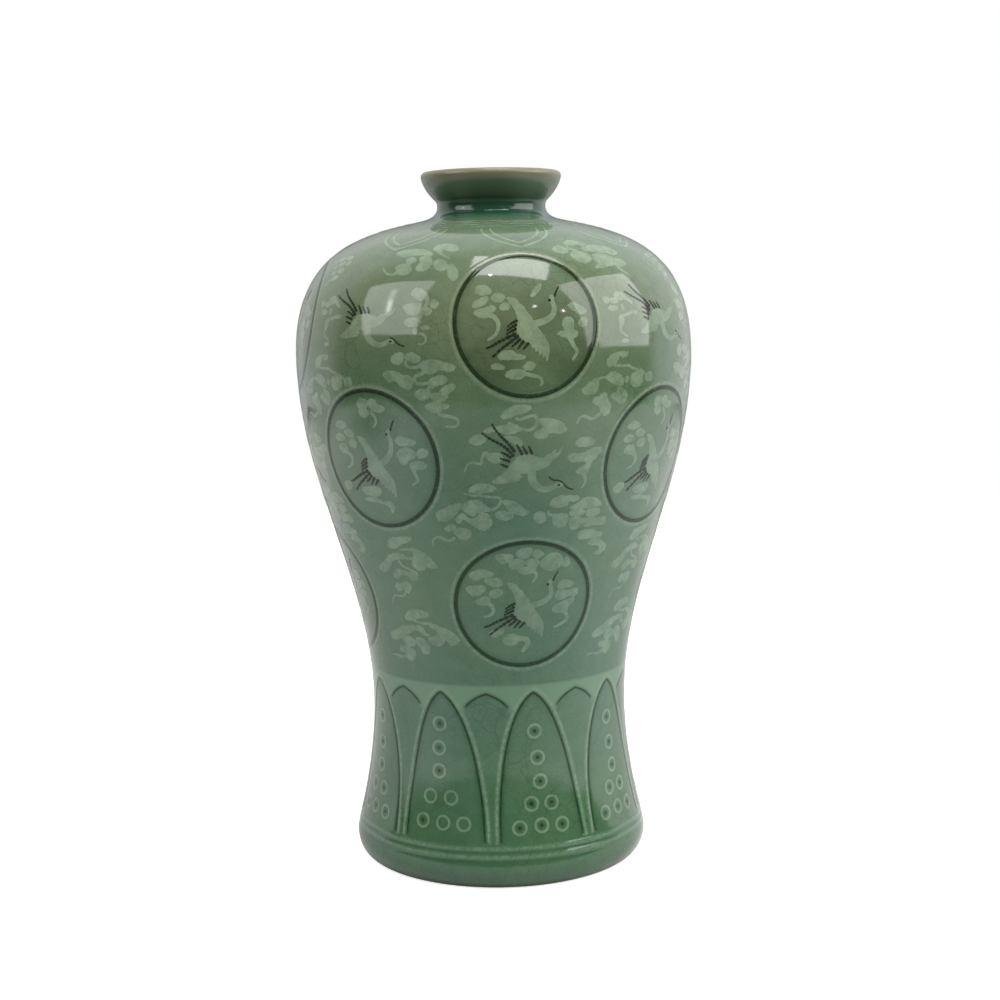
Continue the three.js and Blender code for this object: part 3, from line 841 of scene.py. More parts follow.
def cloud_over():
    """Cloud behind the tail of the falling crane, and a small one before its head."""
    return drawn([
        (-10.8, 16.8, -9.5, 18.8, -6.8, 20.8, -4, 21.4, -1, 21.3, 0.9, 20.5, 0.4, 19.4, -2, 18.4, -5, 17.7,
         -8.5, 16.3),
        (4.2, 15.4, 7.5, 15.8, 11, 15, 13.5, 14, 15.3, 12, 15.5, 10.5, 13.5, 9.7, 11, 10, 8.5, 9.8, 7.5, 8.5,
         5.5, 7.9, 3, 8.5, 2.4, 9.5, 3.5, 10.8, 5.5, 11.5, 6, 12.8, 5, 14),
        (-17.5, 11.2, -15.5, 12.3, -12.5, 12.9, -9.5, 13.3, -7.3, 14.4, -5.3, 13.8, -4, 12.8, -1.6, 11.6, -4,
         11, -6, 10.2, -9, 10, -11.5, 11, -14, 11.2, -16, 10.8),
        (-23.3, 7.2, -22, 8.8, -20, 9.8, -18, 9.5, -16.8, 8.2, -17.5, 6.8, -19.5, 5.8, -22, 6.2),
        (-9.5, 9, -7, 8.8, -4.5, 8.5, -2.8, 7.2, -2.4, 5.5, -4, 5.2, -6.8, 6.8),
        (-16.2, 1.2, -14, 2, -11, 2, -10, 0, -12, -1.6, -14.5, -1.4),
        (19.8, 5.3, 21, 6.8, 23.5, 7.4, 26.5, 7, 28.3, 5.5, 27, 4.3, 24, 3.8, 21, 4),
        (16.5, -0.5, 18.5, 0.8, 21, 0.5, 23.5, 1, 26, 2, 29, 3, 31.5, 2.8, 31.8, 1, 30, 0, 29, -1.5, 27.5,
         -2.5, 26.6, -5, 25.4, -7, 23.5, -8, 20.5, -7, 22, -5.5, 25, -3.6, 24, -2.5, 21, -2.3, 18.5, -2.3),
    ], [
        (1.1, 1.4, -5, 16.2, -3.4, 15.7, -1, 16.4, 2, 17.1, 3.4, 15.8, 3.2, 13.5, 1.5, 11.7, -1.5, 11.3),
        (1.6, 0.8, -15.6, 1.4, -17, 2.4, -18, 0.4, -18.6, -2, -21.5, -1.6, -23.8, -2.4, -25, -5.4),
        (1.9, 0.8, 23.7, -7.6, 24.8, -10, 24.6, -12, 23.2, -13.8),
    ])


def cloud_shoulder_left():
    """Long cloud high on the shoulder, left of a lappet's tip."""
    return drawn([
        (-47.6, 3.4, -45, 5.6, -41, 6.4, -37, 6.4, -33.4, 5.2, -31.4, 3.4, -32.2, 1.8, -35, 2.8, -38, 2.5,
         -41, 2.4, -44, 1.6),
        (-37, 1, -34.4, 2, -32.4, 0.8, -32, -2, -34, -4.8, -36.6, -6, -38.8, -5.2, -38, -3, -36.8, -1.2),
        (-42.6, 0.6, -40, 1.4, -38.6, -0.4, -40.4, -1.6, -41.8, -3, -43, -2),
        (-48, -4, -45.6, -2.4, -42, -3.2, -41, -5.4, -43, -7.4, -46, -7.6, -47.6, -6),
        (-31.4, -2.4, -30, -0.8, -27.6, -0.4, -26, -1.8, -25.9, -4.4, -27.6, -6, -30, -5.4),
        (-25.2, -3.4, -23.4, -3.2, -22, -5.6, -22, -9, -23.6, -10.6, -25.4, -8.8, -25.6, -6),
        (-30.6, 6.6, -29, 8.6, -26, 9.8, -23, 9.4, -20.6, 7.6, -21, 5.2, -24, 4.6, -26.4, 6, -28, 4, -29.8,
         4.8),
    ], [
        (1.3, 1.0, -28.6, 4, -26.6, 1.8, -24.4, 0.2),
        (1.5, 0.8, -47.6, -6.6, -50, -7.6, -52.8, -6.8, -54.4, -4.2),
    ])


def cloud_shoulder_right():
    """Its counterpart on the right."""
    return drawn([
        (23, 8.6, 24.6, 11, 28, 11, 30.6, 9.6, 33, 9.2, 32, 7.4, 29, 7.8, 26, 7.8),
        (17.4, 4.6, 18.6, 6.8, 21, 7, 23.6, 5.2, 24, 3.4, 21.6, 2.4, 19.4, 3),
        (30.6, 5, 33, 7, 36, 7.8, 40, 7.4, 44, 6.4, 47.6, 4.6, 49.4, 2.6, 47, 1.4, 43, 2.6, 39, 2.8, 36, 3.6,
         33, 3.4),
        (25, 2, 27.4, 3.6, 31, 2.8, 33.6, 1, 34.2, -1.2, 31.6, -2.8, 28.6, -2.6, 26.2, -1),
        (35.2, 1, 38, 1.8, 42, 1.2, 46, -0.4, 50, -1.6, 52.6, -3.6, 50.6, -5, 46, -4.4, 42.6, -4.8, 39, -5.6,
         35.6, -5.6, 37.4, -3.6, 35.4, -2),
    ], [
        (1.0, 1.2, 24, 7.6, 24.6, 5.4, 28, 4),
        (1.6, 0.8, 47, -5, 49.6, -7.2, 52.6, -9),
    ])


def cloud_side():
    """Small cloud high on the shoulder, beside a roundel's top."""
    return [lobe(-3.6, 5.4, 2.4, 1.5, 12), lobe(1.6, 6.2, 2.8, 1.4, -8), lobe(4.2, 3.2, 1.7, 1.5),
            lobe(-0.6, 2.6, 2.5, 1.6, 6), lobe(-4.4, 1, 1.6, 1.3), lobe(2.2, -0.8, 2.8, 1.5, -10),
            lobe(-2.4, -2, 1.9, 1.4, 10), lobe(0.8, -4.4, 2.4, 1.3, 8),
            stroke([(0, -4.8), (-2.4, -5.8), (-3.4, -7.6), (-5.4, -7.8)], 1.7, 0.8)]


def cloud_behind():
    """Cloud between an upper roundel and the head of the shoulder crane before it."""
    return drawn([
        (-4.4, 9.2, -3.5, 10.6, -1.8, 11.1, 0.2, 10.2, 1.8, 9, 2.6, 7.8, 1.4, 6.4, -0.7, 5.9, -3.2, 7.5),
        (-7, 3.7, -4.3, 4.4, -0.7, 4.6, 0.7, 3.6, 0.7, 1.3, -1.4, 0.4, -3.2, 0.2, -5.4, 1.3, -6.8, 2.7),
        (4.4, 5.4, 6, 6, 7.5, 4.6, 6.6, 3.1, 4.8, 2.9),
        (2.1, 2.6, 4, 2.7, 5, 1.6, 4, 0.2, 2.2, 0.4),
        (-6.3, -2.6, -4.6, -1.5, -2, -1.2, 0.2, -1.8, 0.2, -3.6, -2, -4.4, -4.8, -4.2),
    ], [
        (1.8, 1.4, 2.4, 7.4, 2.9, 5.4, 2, 2.6, 1.2, 0.4, -0.4, -1.8),
        (1.2, 0.8, 0.2, -7.2, 2.3, -7.8, 3.2, -9.6, 2.1, -11.3, 0, -11.2),
    ]) + [lobe(-1.5, -6.4, 1.1, 1.4), lobe(2.7, -5, 2, 0.9)]


def cloud_before():
    """Cloud between an upper roundel and the tail of the next shoulder crane."""
    return [lobe(-4.6, 5.9, 1.7, 1.5), lobe(-0.7, 5.6, 2.2, 1.3), lobe(2.5, 7.4, 3, 2),
            lobe(-2, 2.4, 2.5, 1.3), lobe(3, 2.7, 0.9, 1.4), lobe(8.6, 0.6, 2.4, 1),
            lobe(1.4, -2.5, 1.6, 2.3), lobe(2.5, -10.7, 2, 0.9),
            stroke([(4.5, 7.2), (6.5, 6), (8.6, 4.4)], 2.4, 1.2),
            stroke([(6.4, 0.2), (4, -0.4), (1.8, -1)], 1.2, 1.4),
            stroke([(0.9, -4.4), (0.4, -6.6), (2.1, -8), (3.9, -9.1)], 1.8, 0.8)]


def roundel_upper():
    """Clouds round the crane in a roundel of the upper row."""
    return drawn([
        (-19.4, 12, -18.6, 14.4, -16, 14.8, -14, 13.6, -13.6, 11.6, -15.6, 11, -17.6, 10.8),
        (-13.4, 9.6, -11.6, 11.2, -9.4, 11.2, -8.4, 9.6, -9.6, 8.2, -12, 8),
        (-21, 6.6, -19.4, 8.4, -17, 9.6, -15, 10, -15.4, 8, -17.4, 6.6, -20, 5.6),
        (-10.2, 6, -8.8, 7.4, -7, 7, -6.8, 5.4, -8.4, 4.6, -10, 4.8),
        (-20.6, 3.4, -18.6, 5, -16, 5.4, -13.6, 6.4, -12.2, 5.2, -13.6, 3.8, -15.4, 2, -18, 1.8),
        (17, 6, 19, 7, 21.4, 6, 24, 4.6, 24.4, 3, 21.6, 2.6, 19.4, 3.8),
        (14.2, -1, 15.6, 1, 18, 1, 19, -1.2, 18.2, -3.2, 16, -3.6, 14.6, -2.6),
        (21, -1, 22.4, 0.8, 24.4, 0.6, 24.8, -1.4, 23, -2.6, 21.4, -2.2),
        (12, -5, 14, -4.2, 17, -3.8, 20, -4.2, 20.2, -5.8, 18.4, -7, 15.4, -6.6, 13.4, -6),
        (-11.6, -13.2, -10, -11.6, -7, -11.4, -4, -12.8, -1, -14, -4, -14.8, -8, -14.6, -11, -14.6),
        (-14.6, -17, -12, -16.4, -9.6, -17.4, -10.4, -18.4, -13.4, -18.2),
        (-2, -18, -1, -16.4, 1, -15.8, 2.6, -16.8, 2, -18.4, 0, -19),
        (-9, -21, -7.6, -19.2, -5, -18.6, -2, -18.9, -1.4, -20.4, -3, -22, -6, -22.2),
        (2, 10, 3.4, 12.4, 5.8, 15, 6.4, 14.4, 5.2, 12.2, 3.6, 10.6),
    ], [
        (2.2, 0.9, -14.4, 2.8, -12.2, 1.2, -11.3, -1.6, -12.6, -5, -15.6, -7),
        (2.2, 0.9, 16.8, -6.4, 18.4, -9.6, 20, -12.4, 18, -15.4),
        (1.7, 0.8, -2, -20.2, 2, -21.2, 4.6, -22, 5.4, -24, 4.6, -25.2),
    ])


def roundel_middle():
    """Clouds round the crane in a roundel of the middle row."""
    return drawn([
        (-5.4, 23, -4, 25, -1.4, 25, 0, 23.8, -0.4, 21.8, -2.6, 21.4, -4.6, 21.8),
        (0.4, 24, 2, 25.2, 4.2, 24.8, 5, 23, 7.6, 22.4, 8.4, 21, 6, 20, 3.4, 20.6, 1.4, 21.4),
        (-5, 19.8, -3.6, 21, -1, 21, 0.4, 19.6, -0.6, 18.2, -3, 17.7),
        (-20.6, 13.6, -18, 15.4, -15, 15.2, -13.4, 14, -15, 12.8, -18, 12.6),
        (-15, 11.4, -12, 12.2, -9.6, 11, -9.8, 9.4, -12.6, 9, -14.6, 9.8),
        (-21.8, 8.8, -19, 10.2, -16.2, 9.6, -15.6, 8, -18, 7.2, -20.6, 7.4),
        (-13.4, 6.4, -12, 8, -9.6, 7.8, -8.8, 6.4, -10, 4.8, -12.4, 5),
        (-20.4, 4.2, -18, 6, -15.6, 5.6, -14.4, 3.6, -16.4, 2.2, -19, 2.4),
        (12, 8.6, 14, 10.4, 16.6, 9.8, 19, 9.2, 21.2, 8, 19.4, 6.8, 16, 6.6, 13.2, 7),
        (11.8, 2.8, 13.4, 4.8, 16, 5.6, 18.6, 5, 20.2, 3.2, 19, 1.6, 16.8, 0.6, 15, -1.2, 13, -1, 12.4, 1),
        (20.8, 3.2, 22, 5, 24.6, 5.2, 25.6, 3.8, 24, 2, 21.6, 1.6),
        (17, -1, 19.4, -0.2, 22, 0, 24, -1.4, 22, -3, 19, -3.2, 17.4, -2.6),
        (-21.6, -11.6, -19, -10.2, -16.6, -10.8, -16.8, -12.8, -19.4, -14.2, -21.4, -13.4),
        (-10, -12.8, -6, -12, -2, -11.6, 0.4, -12.4, 0, -14.4, -3, -16, -6.6, -15.6, -9.4, -14.8),
        (-9.6, -17, -6, -16.6, -2.4, -17, 1, -18, 4, -18, 5.6, -19.6, 5, -21.6, 3.6, -23, 3.6, -21, 2.4,
         -19.6, -1, -18.8, -5, -18.2, -8.6, -18.2),
    ], [
        (1.8, 0.9, 1.6, 20, 3.4, 18, 3.6, 15.6, 2, 13.6),
        (2.2, 0.9, -15.6, 2.8, -13, 1, -12.8, -1, -14.2, -3, -16.8, -4.2),
        (2.0, 0.8, 17.8, -2.4, 18.6, -5.4, 19.2, -8, 16.4, -10),
    ])


def roundel_lower():
    """Clouds round the crane in a roundel of the lower row."""
    return drawn([
        (-12.8, 22, -10, 22.6, -6.2, 22.2, -5.8, 20.6, -7.6, 19, -10, 18.4, -11.4, 19.8),
        (-4.4, 23, -2.4, 24.8, 0, 25.2, 2, 24.6, 1.5, 22.6, 0.4, 21, -2, 20.8, -3.6, 21.6),
        (2.4, 22, 3.6, 24, 5.4, 23.6, 7, 22, 5.8, 21, 3.8, 20.6),
        (-7.2, 18.4, -5, 20, -2.4, 20.2, -0.8, 19, -1.6, 17, -3.6, 15.9, -6, 16.2),
        (-0.4, 18.6, 1, 20, 3.4, 20, 5.2, 18.6, 4.2, 17, 1.6, 16.8),
        (-3, 15, -1.4, 16.4, 1.6, 16.3, 4, 16, 3.2, 14.4, 1, 13.6, -1.6, 13.8),
        (6, 18.4, 7.6, 20.6, 10.4, 22.2, 13.4, 21.8, 15, 20, 14.8, 17.4, 13.2, 15.2, 10.6, 14.3, 8, 15.2,
         6.2, 16.4),
        (15.6, 18, 16.8, 20, 18.4, 18.6, 18.2, 16.4, 16.4, 15.7, 15.4, 16.6),
        (-23, 13.2, -21.6, 14.8, -19, 15.8, -16, 15.2, -13.6, 14, -15, 12.6, -18, 12.2, -20, 11, -22, 12),
        (-16.8, 11.2, -14.4, 11.8, -11.6, 11.8, -9.8, 10.6, -10.2, 8.8, -12.8, 8.2, -15, 9.2),
        (-24.6, 7.4, -22, 8.4, -19, 8.6, -16.6, 8.4, -16.8, 6.4, -18.6, 4.6, -21.4, 4.2, -23, 5.4),
        (-14.6, 5.4, -13, 6.8, -10.8, 6.8, -9.4, 5.6, -10.4, 4, -12.6, 3.2, -14, 3.8),
        (-20, 1.6, -18, 3, -15.6, 3.6, -14.4, 2.2, -15, 0.4, -17, -0.2, -19, 0.2),
        (14.4, 8.4, 16, 9.4, 19, 9.2, 21.2, 7.6, 20, 6.4, 17, 6.2, 14.2, 5.6),
        (13.2, 4.4, 15.4, 5, 18, 4.6, 20, 5, 22.6, 5.2, 23.2, 3.2, 21.4, 1.8, 19, 2.4, 16.6, 1, 13.8, 1.2),
        (12, -3, 13.4, -1.6, 16, -0.4, 19, 0.6, 21.8, 0.8, 21.4, -1, 19.2, -2.6, 18.8, -4.6, 16.6, -5.2,
         13.4, -4.8),
        (-14, -13, -12, -11.6, -9, -10.8, -8.4, -12.4, -10.4, -14, -12.4, -14.6),
        (-8.4, -16.4, -7.4, -14.4, -5, -13.6, -2.6, -14.4, 0, -14.8, 2, -15.8, 2.8, -17.8, 1.8, -20, -0.4,
         -21.8, -0.2, -20, 1, -18.2, 0.2, -16.8, -1.8, -16.6, -3.4, -18, -5.4, -18.8, -7.4, -18),
    ], [
        (1.6, 0.9, 2.4, 14.8, 4.2, 13.6, 4.2, 11.6, 2.8, 9.8),
        (2.0, 0.9, -15.4, 1, -13.4, -0.8, -12.8, -3, -14.2, -5, -16.6, -5.5),
        (2.0, 0.9, 17.2, -4.6, 18.9, -7.2, 18, -9.2, 15.4, -10.6, 13, -11.6),
    ])


def ring_shape(r, w, n=28):
    """Triangles of a flat ring of middle radius r and width w."""
    a = 2 * math.pi * np.arange(n) / n
    unit = np.stack([np.cos(a), np.sin(a)], -1)
    flat = np.concatenate([unit * (r + w / 2), unit * (r - w / 2)])
    tris = []
    for i in range(n):
        j = (i + 1) % n
        tris += [[i, j, n + j], [i, n + j, n + i]]
    return flat, tris


# Materials. A tone is a list of colours by height in millimetres.

# The lowest stop, at the foot's bottom edge, is painted shade: the floor's contact shadow as the glaze
# mirrors it.
GROUND = [(0.3, (0.014, 0.036, 0.020)), (4, (0.030, 0.078, 0.038)), (40, (0.041, 0.092, 0.050)),
          (75, (0.046, 0.101, 0.058)), (150, (0.053, 0.111, 0.065)), (205, (0.055, 0.101, 0.056)),
          (240, (0.075, 0.108, 0.061)), (268, (0.076, 0.113, 0.071))]
LINE_TONE = [(0, (0.009, 0.033, 0.012)), (190, (0.008, 0.024, 0.009)), (240, (0.012, 0.019, 0.008))]
BLACK_TONE = [(0, (0.010, 0.023, 0.011)), (240, (0.010, 0.016, 0.008))]
THIN_TONE = [(180, (0.115, 0.190, 0.125)), (235, (0.150, 0.182, 0.118))]
ROUNDEL_TINT = (0.68, 0.67, 0.64)
SLIP_WHITE = (0.31, 0.41, 0.30)
BAND_TONE = (0.082, 0.156, 0.096)
# POOL_TONE darkens pooled glaze in lines and valleys, and paints shade just inside the lines.
POOL_TONE = (0.012, 0.040, 0.018)
GRAIN_TONE = (0.034, 0.062, 0.036)
# The neck's dark teal is partly its own glaze and partly painted shade: it reaches down past the neck's root
# onto the top of the shoulder as a painted dark band.
NECK_AND_SHADE_TONE = (0.004, 0.040, 0.021)
CUP_TONE = (0.041, 0.080, 0.044)
RIM_TONE = (0.120, 0.112, 0.064)
BARE_TONE = (0.15, 0.14, 0.11)

# How far each of those tones is mixed in, and how rough the glaze is, by height in millimetres.
NECK_AND_SHADE_SHARE = [(272, 0.0), (278, 0.2), (279.2, 0.4), (280.6, 0.8), (282, 1.0)]
CUP_SHARE = [(283.5, 0.0), (286, 0.25), (288.5, 0.9), (291, 1.0)]
RIM_SHARE = [(294.5, 0.0), (296.5, 0.5), (298.2, 0.9), (300, 1.0)]
BARE_SHARE = [(0.0, 1.0), (0.1, 0.9), (0.4, 0.0)]
NECK_ROUGH = [(278, 0.0), (282, 0.13), (286, 0.16), (290, 0.26)]
GLAZE_ROUGH = 0.06
RIM_ROUGH = 0.34
BARE_ROUGH = 0.7
GLAZE_IOR = 1.5
DARK_SHINE = 0.25


def blend(tone, other, low, high):
    """A tone moved towards one colour, by a share that runs from low at the foot to high at the lip."""
    out = []
    for z, colour in tone:
        share = low + (high - low) * z / HEIGHT
        out.append((z, tuple(a + (b - a) * share for a, b in zip(colour, other))))
    return out


def put(tree, socket, value):
    """Link a socket to another one, or set its value."""
    if hasattr(value, "links"):
        tree.links.new(value, socket)
    elif socket.type == "RGBA" and isinstance(value, tuple):
        socket.default_value = (*value, 1)
    else:
        socket.default_value = value


def node(tree, kind, *sources, **values):
    """A node with its first inputs from the sources in turn, and other inputs and properties by name."""
    n = tree.nodes.new(kind)
    for key, value in values.items():
        name = key.replace("_", " ")
        if name in n.inputs:
            put(tree, n.inputs[name], value)
        else:
            setattr(n, key, value)
    for socket, value in zip(n.inputs, sources):
        put(tree, socket, value)
    return n


def ramp(tree, stops, source):
    n = node(tree, "ShaderNodeValToRGB", source)
    while len(n.color_ramp.elements) < len(stops):
        n.color_ramp.elements.new(0.5)
    for e, (pos, colour) in zip(n.color_ramp.elements, stops):
        e.position = pos
        e.color = (*colour, 1) if isinstance(colour, tuple) else (colour, colour, colour, 1)
    return n.outputs[0]


def mix(tree, kind, factor, a, b):
    n = node(tree, "ShaderNodeMix", data_type="RGBA", blend_type=kind)
    for socket, value in ((n.inputs[0], factor), (n.inputs[6], a), (n.inputs[7], b)):
        put(tree, socket, value)
    return n.outputs[2]


def smooth_range(tree, source, low, high, to_low=0.0, to_high=1.0):
    return node(tree, "ShaderNodeMapRange", source, interpolation_type="SMOOTHSTEP", From_Min=low,
                From_Max=high, To_Min=to_low, To_Max=to_high).outputs[0]


class Glaze:
    """Glossy celadon glaze over a ground whose colour drifts, with fine crackle and specks."""

    def __init__(self, name, tone):
        self.mat = bpy.data.materials.new(name)
        self.mat.use_nodes = True
        self.tree = t = self.mat.node_tree
        t.nodes.clear()
        self.bsdf = node(t, "ShaderNodeBsdfPrincipled", IOR=GLAZE_IOR)
        node(t, "ShaderNodeOutputMaterial", self.bsdf.outputs[0])
        self.where = node(t, "ShaderNodeTexCoord").outputs["Object"]
        height = node(t, "ShaderNodeSeparateXYZ", self.where).outputs["Z"]
        self.level = node(t, "ShaderNodeMapRange", height, From_Max=HEIGHT * MM).outputs[0]
        self.colour = self.by_height(tone)
        self.add_colour()
        self.add_crackle()
        self.add_skin()
        self.rough = ramp(t, [(0.3, GLAZE_ROUGH * 0.8), (0.7, GLAZE_ROUGH * 1.5)], self.noise(40, 3))
        self.finish()

    def by_height(self, stops):
        return ramp(self.tree, [(z / HEIGHT, v) for z, v in stops], self.level)

    def noise(self, scale, detail, roughness=0.55):
        return node(self.tree, "ShaderNodeTexNoise", self.where, Scale=scale, Detail=detail,
                    Roughness=roughness).outputs["Fac"]

    def tint(self, kind, factor, other):
        self.colour = mix(self.tree, kind, factor, self.colour, other)

    def add_colour(self):
        """Slow drift of the fired colour, finer clouding from the glaze's thickness, and tiny bubbles
        and iron specks."""
        drift = [(0.36, (0.89, 0.95, 1.00)), (0.64, (1.11, 1.05, 1.00))]
        cloudy = [(0.3, 0.92), (0.7, 1.08)]
        specks = [(0.26, 0.76), (0.36, 0.95), (0.64, 1.05), (0.74, 1.2)]
        for stops, scale, detail in ((drift, 16, 3), (cloudy, 170, 4), (specks, 1300, 2)):
            self.tint("MULTIPLY", 1.0, ramp(self.tree, stops, self.noise(scale, detail)))

    def add_crackle(self):
        """Fine cracks between bent cells, stronger in patches."""
        t = self.tree
        warp = node(t, "ShaderNodeTexNoise", self.where, Scale=120.0, Detail=1.0).outputs["Color"]
        bend = node(t, "ShaderNodeVectorMath", warp, operation="SCALE", Scale=0.0045).outputs[0]
        moved = node(t, "ShaderNodeVectorMath", self.where, bend, operation="ADD").outputs[0]
        cells = node(t, "ShaderNodeTexVoronoi", moved, feature="DISTANCE_TO_EDGE", Scale=150.0)
        crack = ramp(t, [(0.0, 0.76), (0.05, 1.0)], cells.outputs["Distance"])
        self.tint("MULTIPLY", ramp(t, [(0.42, 0.0), (0.62, 0.9)], self.noise(26, 2)), crack)

    def add_skin(self):
        """Slight waviness and pin-prick unevenness of the surface."""
        t = self.tree
        wave = node(t, "ShaderNodeBump", Strength=0.3, Distance=0.0002, Height=self.noise(55, 2))
        skin = node(t, "ShaderNodeBump", Strength=0.35, Distance=0.00002, Height=self.noise(900, 2),
                    Normal=wave.outputs[0])
        put(t, self.bsdf.inputs["Normal"], skin.outputs[0])

    def finish(self):
        put(self.tree, self.bsdf.inputs["Base Color"], self.colour)
        put(self.tree, self.bsdf.inputs["Roughness"], self.rough)


def body_glaze():
    """The wall's glaze: thin and pale on ridges, pooled in grooves with painted shade just inside the lines,
    dark at the neck partly from its glaze and partly as painted shade at its root, brown on the rim, and
    darker at the foot's edge as painted shade.
    """
    g = Glaze("celadon_glaze", GROUND)
    t = g.tree
    tone = node(t, "ShaderNodeAttribute", attribute_name="tone")
    thin, pool_and_shade, band = node(t, "ShaderNodeSeparateColor", tone.outputs["Color"]).outputs
    patchy = ramp(t, [(0.42, 0.35), (0.58, 1.1)], g.noise(42, 3))
    g.tint("MULTIPLY", mix(t, "MULTIPLY", 1.0, tone.outputs["Alpha"], patchy), ROUNDEL_TINT)
    g.tint("MIX", band, BAND_TONE)
    spotty = ramp(t, [(0.38, 0.45), (0.62, 1.0)], g.noise(650, 2))
    g.tint("MIX", mix(t, "MULTIPLY", 1.0, thin, spotty), g.by_height(THIN_TONE))
    # Pooled glaze in lines and valleys, and painted shade just inside the lines.
    g.tint("MIX", pool_and_shade, POOL_TONE)
    # Dark neck: its own glaze, and painted shade at its root.
    g.tint("MIX", g.by_height(NECK_AND_SHADE_SHARE), NECK_AND_SHADE_TONE)
    g.tint("MIX", g.by_height(CUP_SHARE), CUP_TONE)
    rim, bare = g.by_height(RIM_SHARE), g.by_height(BARE_SHARE)
    g.tint("MIX", rim, RIM_TONE)
    g.tint("MIX", bare, BARE_TONE)
    g.rough = mix(t, "LIGHTEN", 1.0, g.rough, g.by_height(NECK_ROUGH))
    for share, rough in ((rim, RIM_ROUGH), (bare, BARE_ROUGH)):
        g.rough = mix(t, "MIX", share, g.rough, (rough, rough, rough))
    g.finish()
    return g.mat


def slip_glaze(name, low, high, more):
    """White slip under the glaze, thicker in patches."""
    g = Glaze(name, blend(GROUND, SLIP_WHITE, low, high))
    g.tint("MIX", ramp(g.tree, [(0.36, 0.0), (0.62, more)], g.noise(190, 4, 0.7)), SLIP_WHITE)
    g.finish()
    return g.mat


def dark_glaze(name, tone):
    """Dark slip in a groove, grainy, where the glaze shines less."""
    g = Glaze(name, tone)
    g.tint("MIX", ramp(g.tree, [(0.5, 0.0), (0.68, 0.4)], g.noise(700, 2)), GRAIN_TONE)
    g.finish()
    g.bsdf.inputs["Specular IOR Level"].default_value = DARK_SHINE
    return g.mat


# Assembly

def finish_piece(obj, material, slot, *nodes):
    obj.data.materials.append(material)
    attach(obj, "root")
    if nodes:
        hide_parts(*nodes)


def around(turn, s):
    """Four places round the vase."""
    return [(turn + 90 * i, s) for i in range(4)]


def repeated(motif, places):
    return [(motif, turn, s) for turn, s in places]


def inlay(name, placed, lift, material, slot="slip"):
    finish_piece(make_inlay(name, placed, lift), material, slot)


def add_lines(material):
    """Dark lines of the roundels, the petals and the tips of the petals behind."""
    for row in ROWS:
        for i, (turn, s) in enumerate(row_places(row)):
            piece = make_line(f"ring_{row}_{i + 1}", [roundel_line(row, turn, s)], True, RING_LINE_W)
            finish_piece(piece, material, "dark_line", f"roundel_{row}_{i + 1}")
    for i in range(PETALS):
        turn = math.radians(PETAL_TURN) + PETAL_PITCH * i
        piece = make_line(f"petal_{i + 1}", [arch_line(PETAL_ARCH, turn, 1)], False, PETAL_LINE_W)
        finish_piece(piece, material, "dark_line", f"petal_line_{i + 1}")
        tip = [arch_line(TIP_ARCH, turn + PETAL_PITCH / 2, 0)]
        piece = make_line(f"petal_tip_{i + 1}", tip, False, TIP_LINE_W)
        finish_piece(piece, material, "dark_line", f"petal_tip_line_{i + 1}")


def add_cranes_and_clouds(white, black, pale):
    roundel_clouds = {"upper": roundel_upper, "middle": roundel_middle, "lower": roundel_lower}
    heads = {"upper": (0, 0), "middle": (-1.4, 2.8), "lower": (0, 0)}
    cranes = [(row, rising_crane(*heads[row]), row_places(row)) for row in ROWS]
    cranes.append(("shoulder", falling_crane(0.83, 2), around(-37, 246.6)))
    cranes.append(("belly", falling_crane(1, 0), around(9, 190)))
    for row, motif in roundel_clouds.items():
        inlay(f"roundel_clouds_{row}", repeated(fill(motif()), row_places(row)), CLOUD_LIFT, pale)
    for row, (body, marks), places in cranes:
        inlay(f"crane_white_{row}", repeated(fill(body), places), CRANE_LIFT, white)
        inlay(f"crane_black_{row}", repeated(fill(marks), places), FEATHER_LIFT, black, "dark_line")
    for name, motif, turn, s in (("stair", cloud_stair, -18, 223), ("drift", cloud_drift, 37, 222),
                                 ("over", cloud_over, 9, 190), ("wide", cloud_wide, 8, 163),
                                 ("bank", cloud_bank, 8, 163), ("pair", cloud_pair, -31, 130),
                                 ("behind", cloud_behind, -20, 247), ("before", cloud_before, 36, 246)):
        inlay(f"cloud_{name}", repeated(fill(motif()), around(turn, s)), CLOUD_LIFT, pale)
    left, right = fill(cloud_shoulder_left()), fill(cloud_shoulder_right())
    side = fill(cloud_side())
    inlay("cloud_shoulder", [(left, 6, 272), (right, 6, 272), (left, 175, 272), (right, 201, 272),
                             (side, -57, 268), (side, 68, 268)], CLOUD_LIFT, pale)


def add_stamps(pale, well, dark):
    """Stamped rings, eight to a petal, set in degrees from its middle and along the wall. Every
    third petal has the second setting, where only some of the rings have a centre."""
    stamp = ring_shape(STAMP_R, STAMP_W)
    hollow, centre = (fill([lobe(0, 0, r, r)]) for r in (HOLLOW_R, CENTRE_R))
    first = (0.6, 69.2, 1.6, 57.9, 2.3, 47.8, -1.9, 38.7, 6.7, 38.5, -7.1, 28.9, 1.8, 29.4, 10.5, 28.9)
    second = (-1.1, 72, -1.4, 61.6, -1.1, 51.8, -4.7, 40.8, 4.8, 41, -7.3, 30.2, 1.9, 30.3, 10.6, 30.4)
    with_centre = (0, 1, 2, 5)
    rings, hollows, centres = [], [], []
    for i in range(PETALS):
        plain = i % 3 == 2
        for k, (a, s) in enumerate(pairs(second if plain else first)):
            at = (PETAL_TURN + 360 / PETALS * i + a, s)
            rings.append((stamp, *at))
            if not plain or k in with_centre:
                hollows.append((hollow, *at))
                centres.append((centre, *at))
    inlay("stamp_rings", rings, CLOUD_LIFT, pale)
    inlay("stamp_hollows", hollows, HOLLOW_LIFT, well)
    inlay("stamp_centres", centres, CENTRE_LIFT, dark, "dark_line")


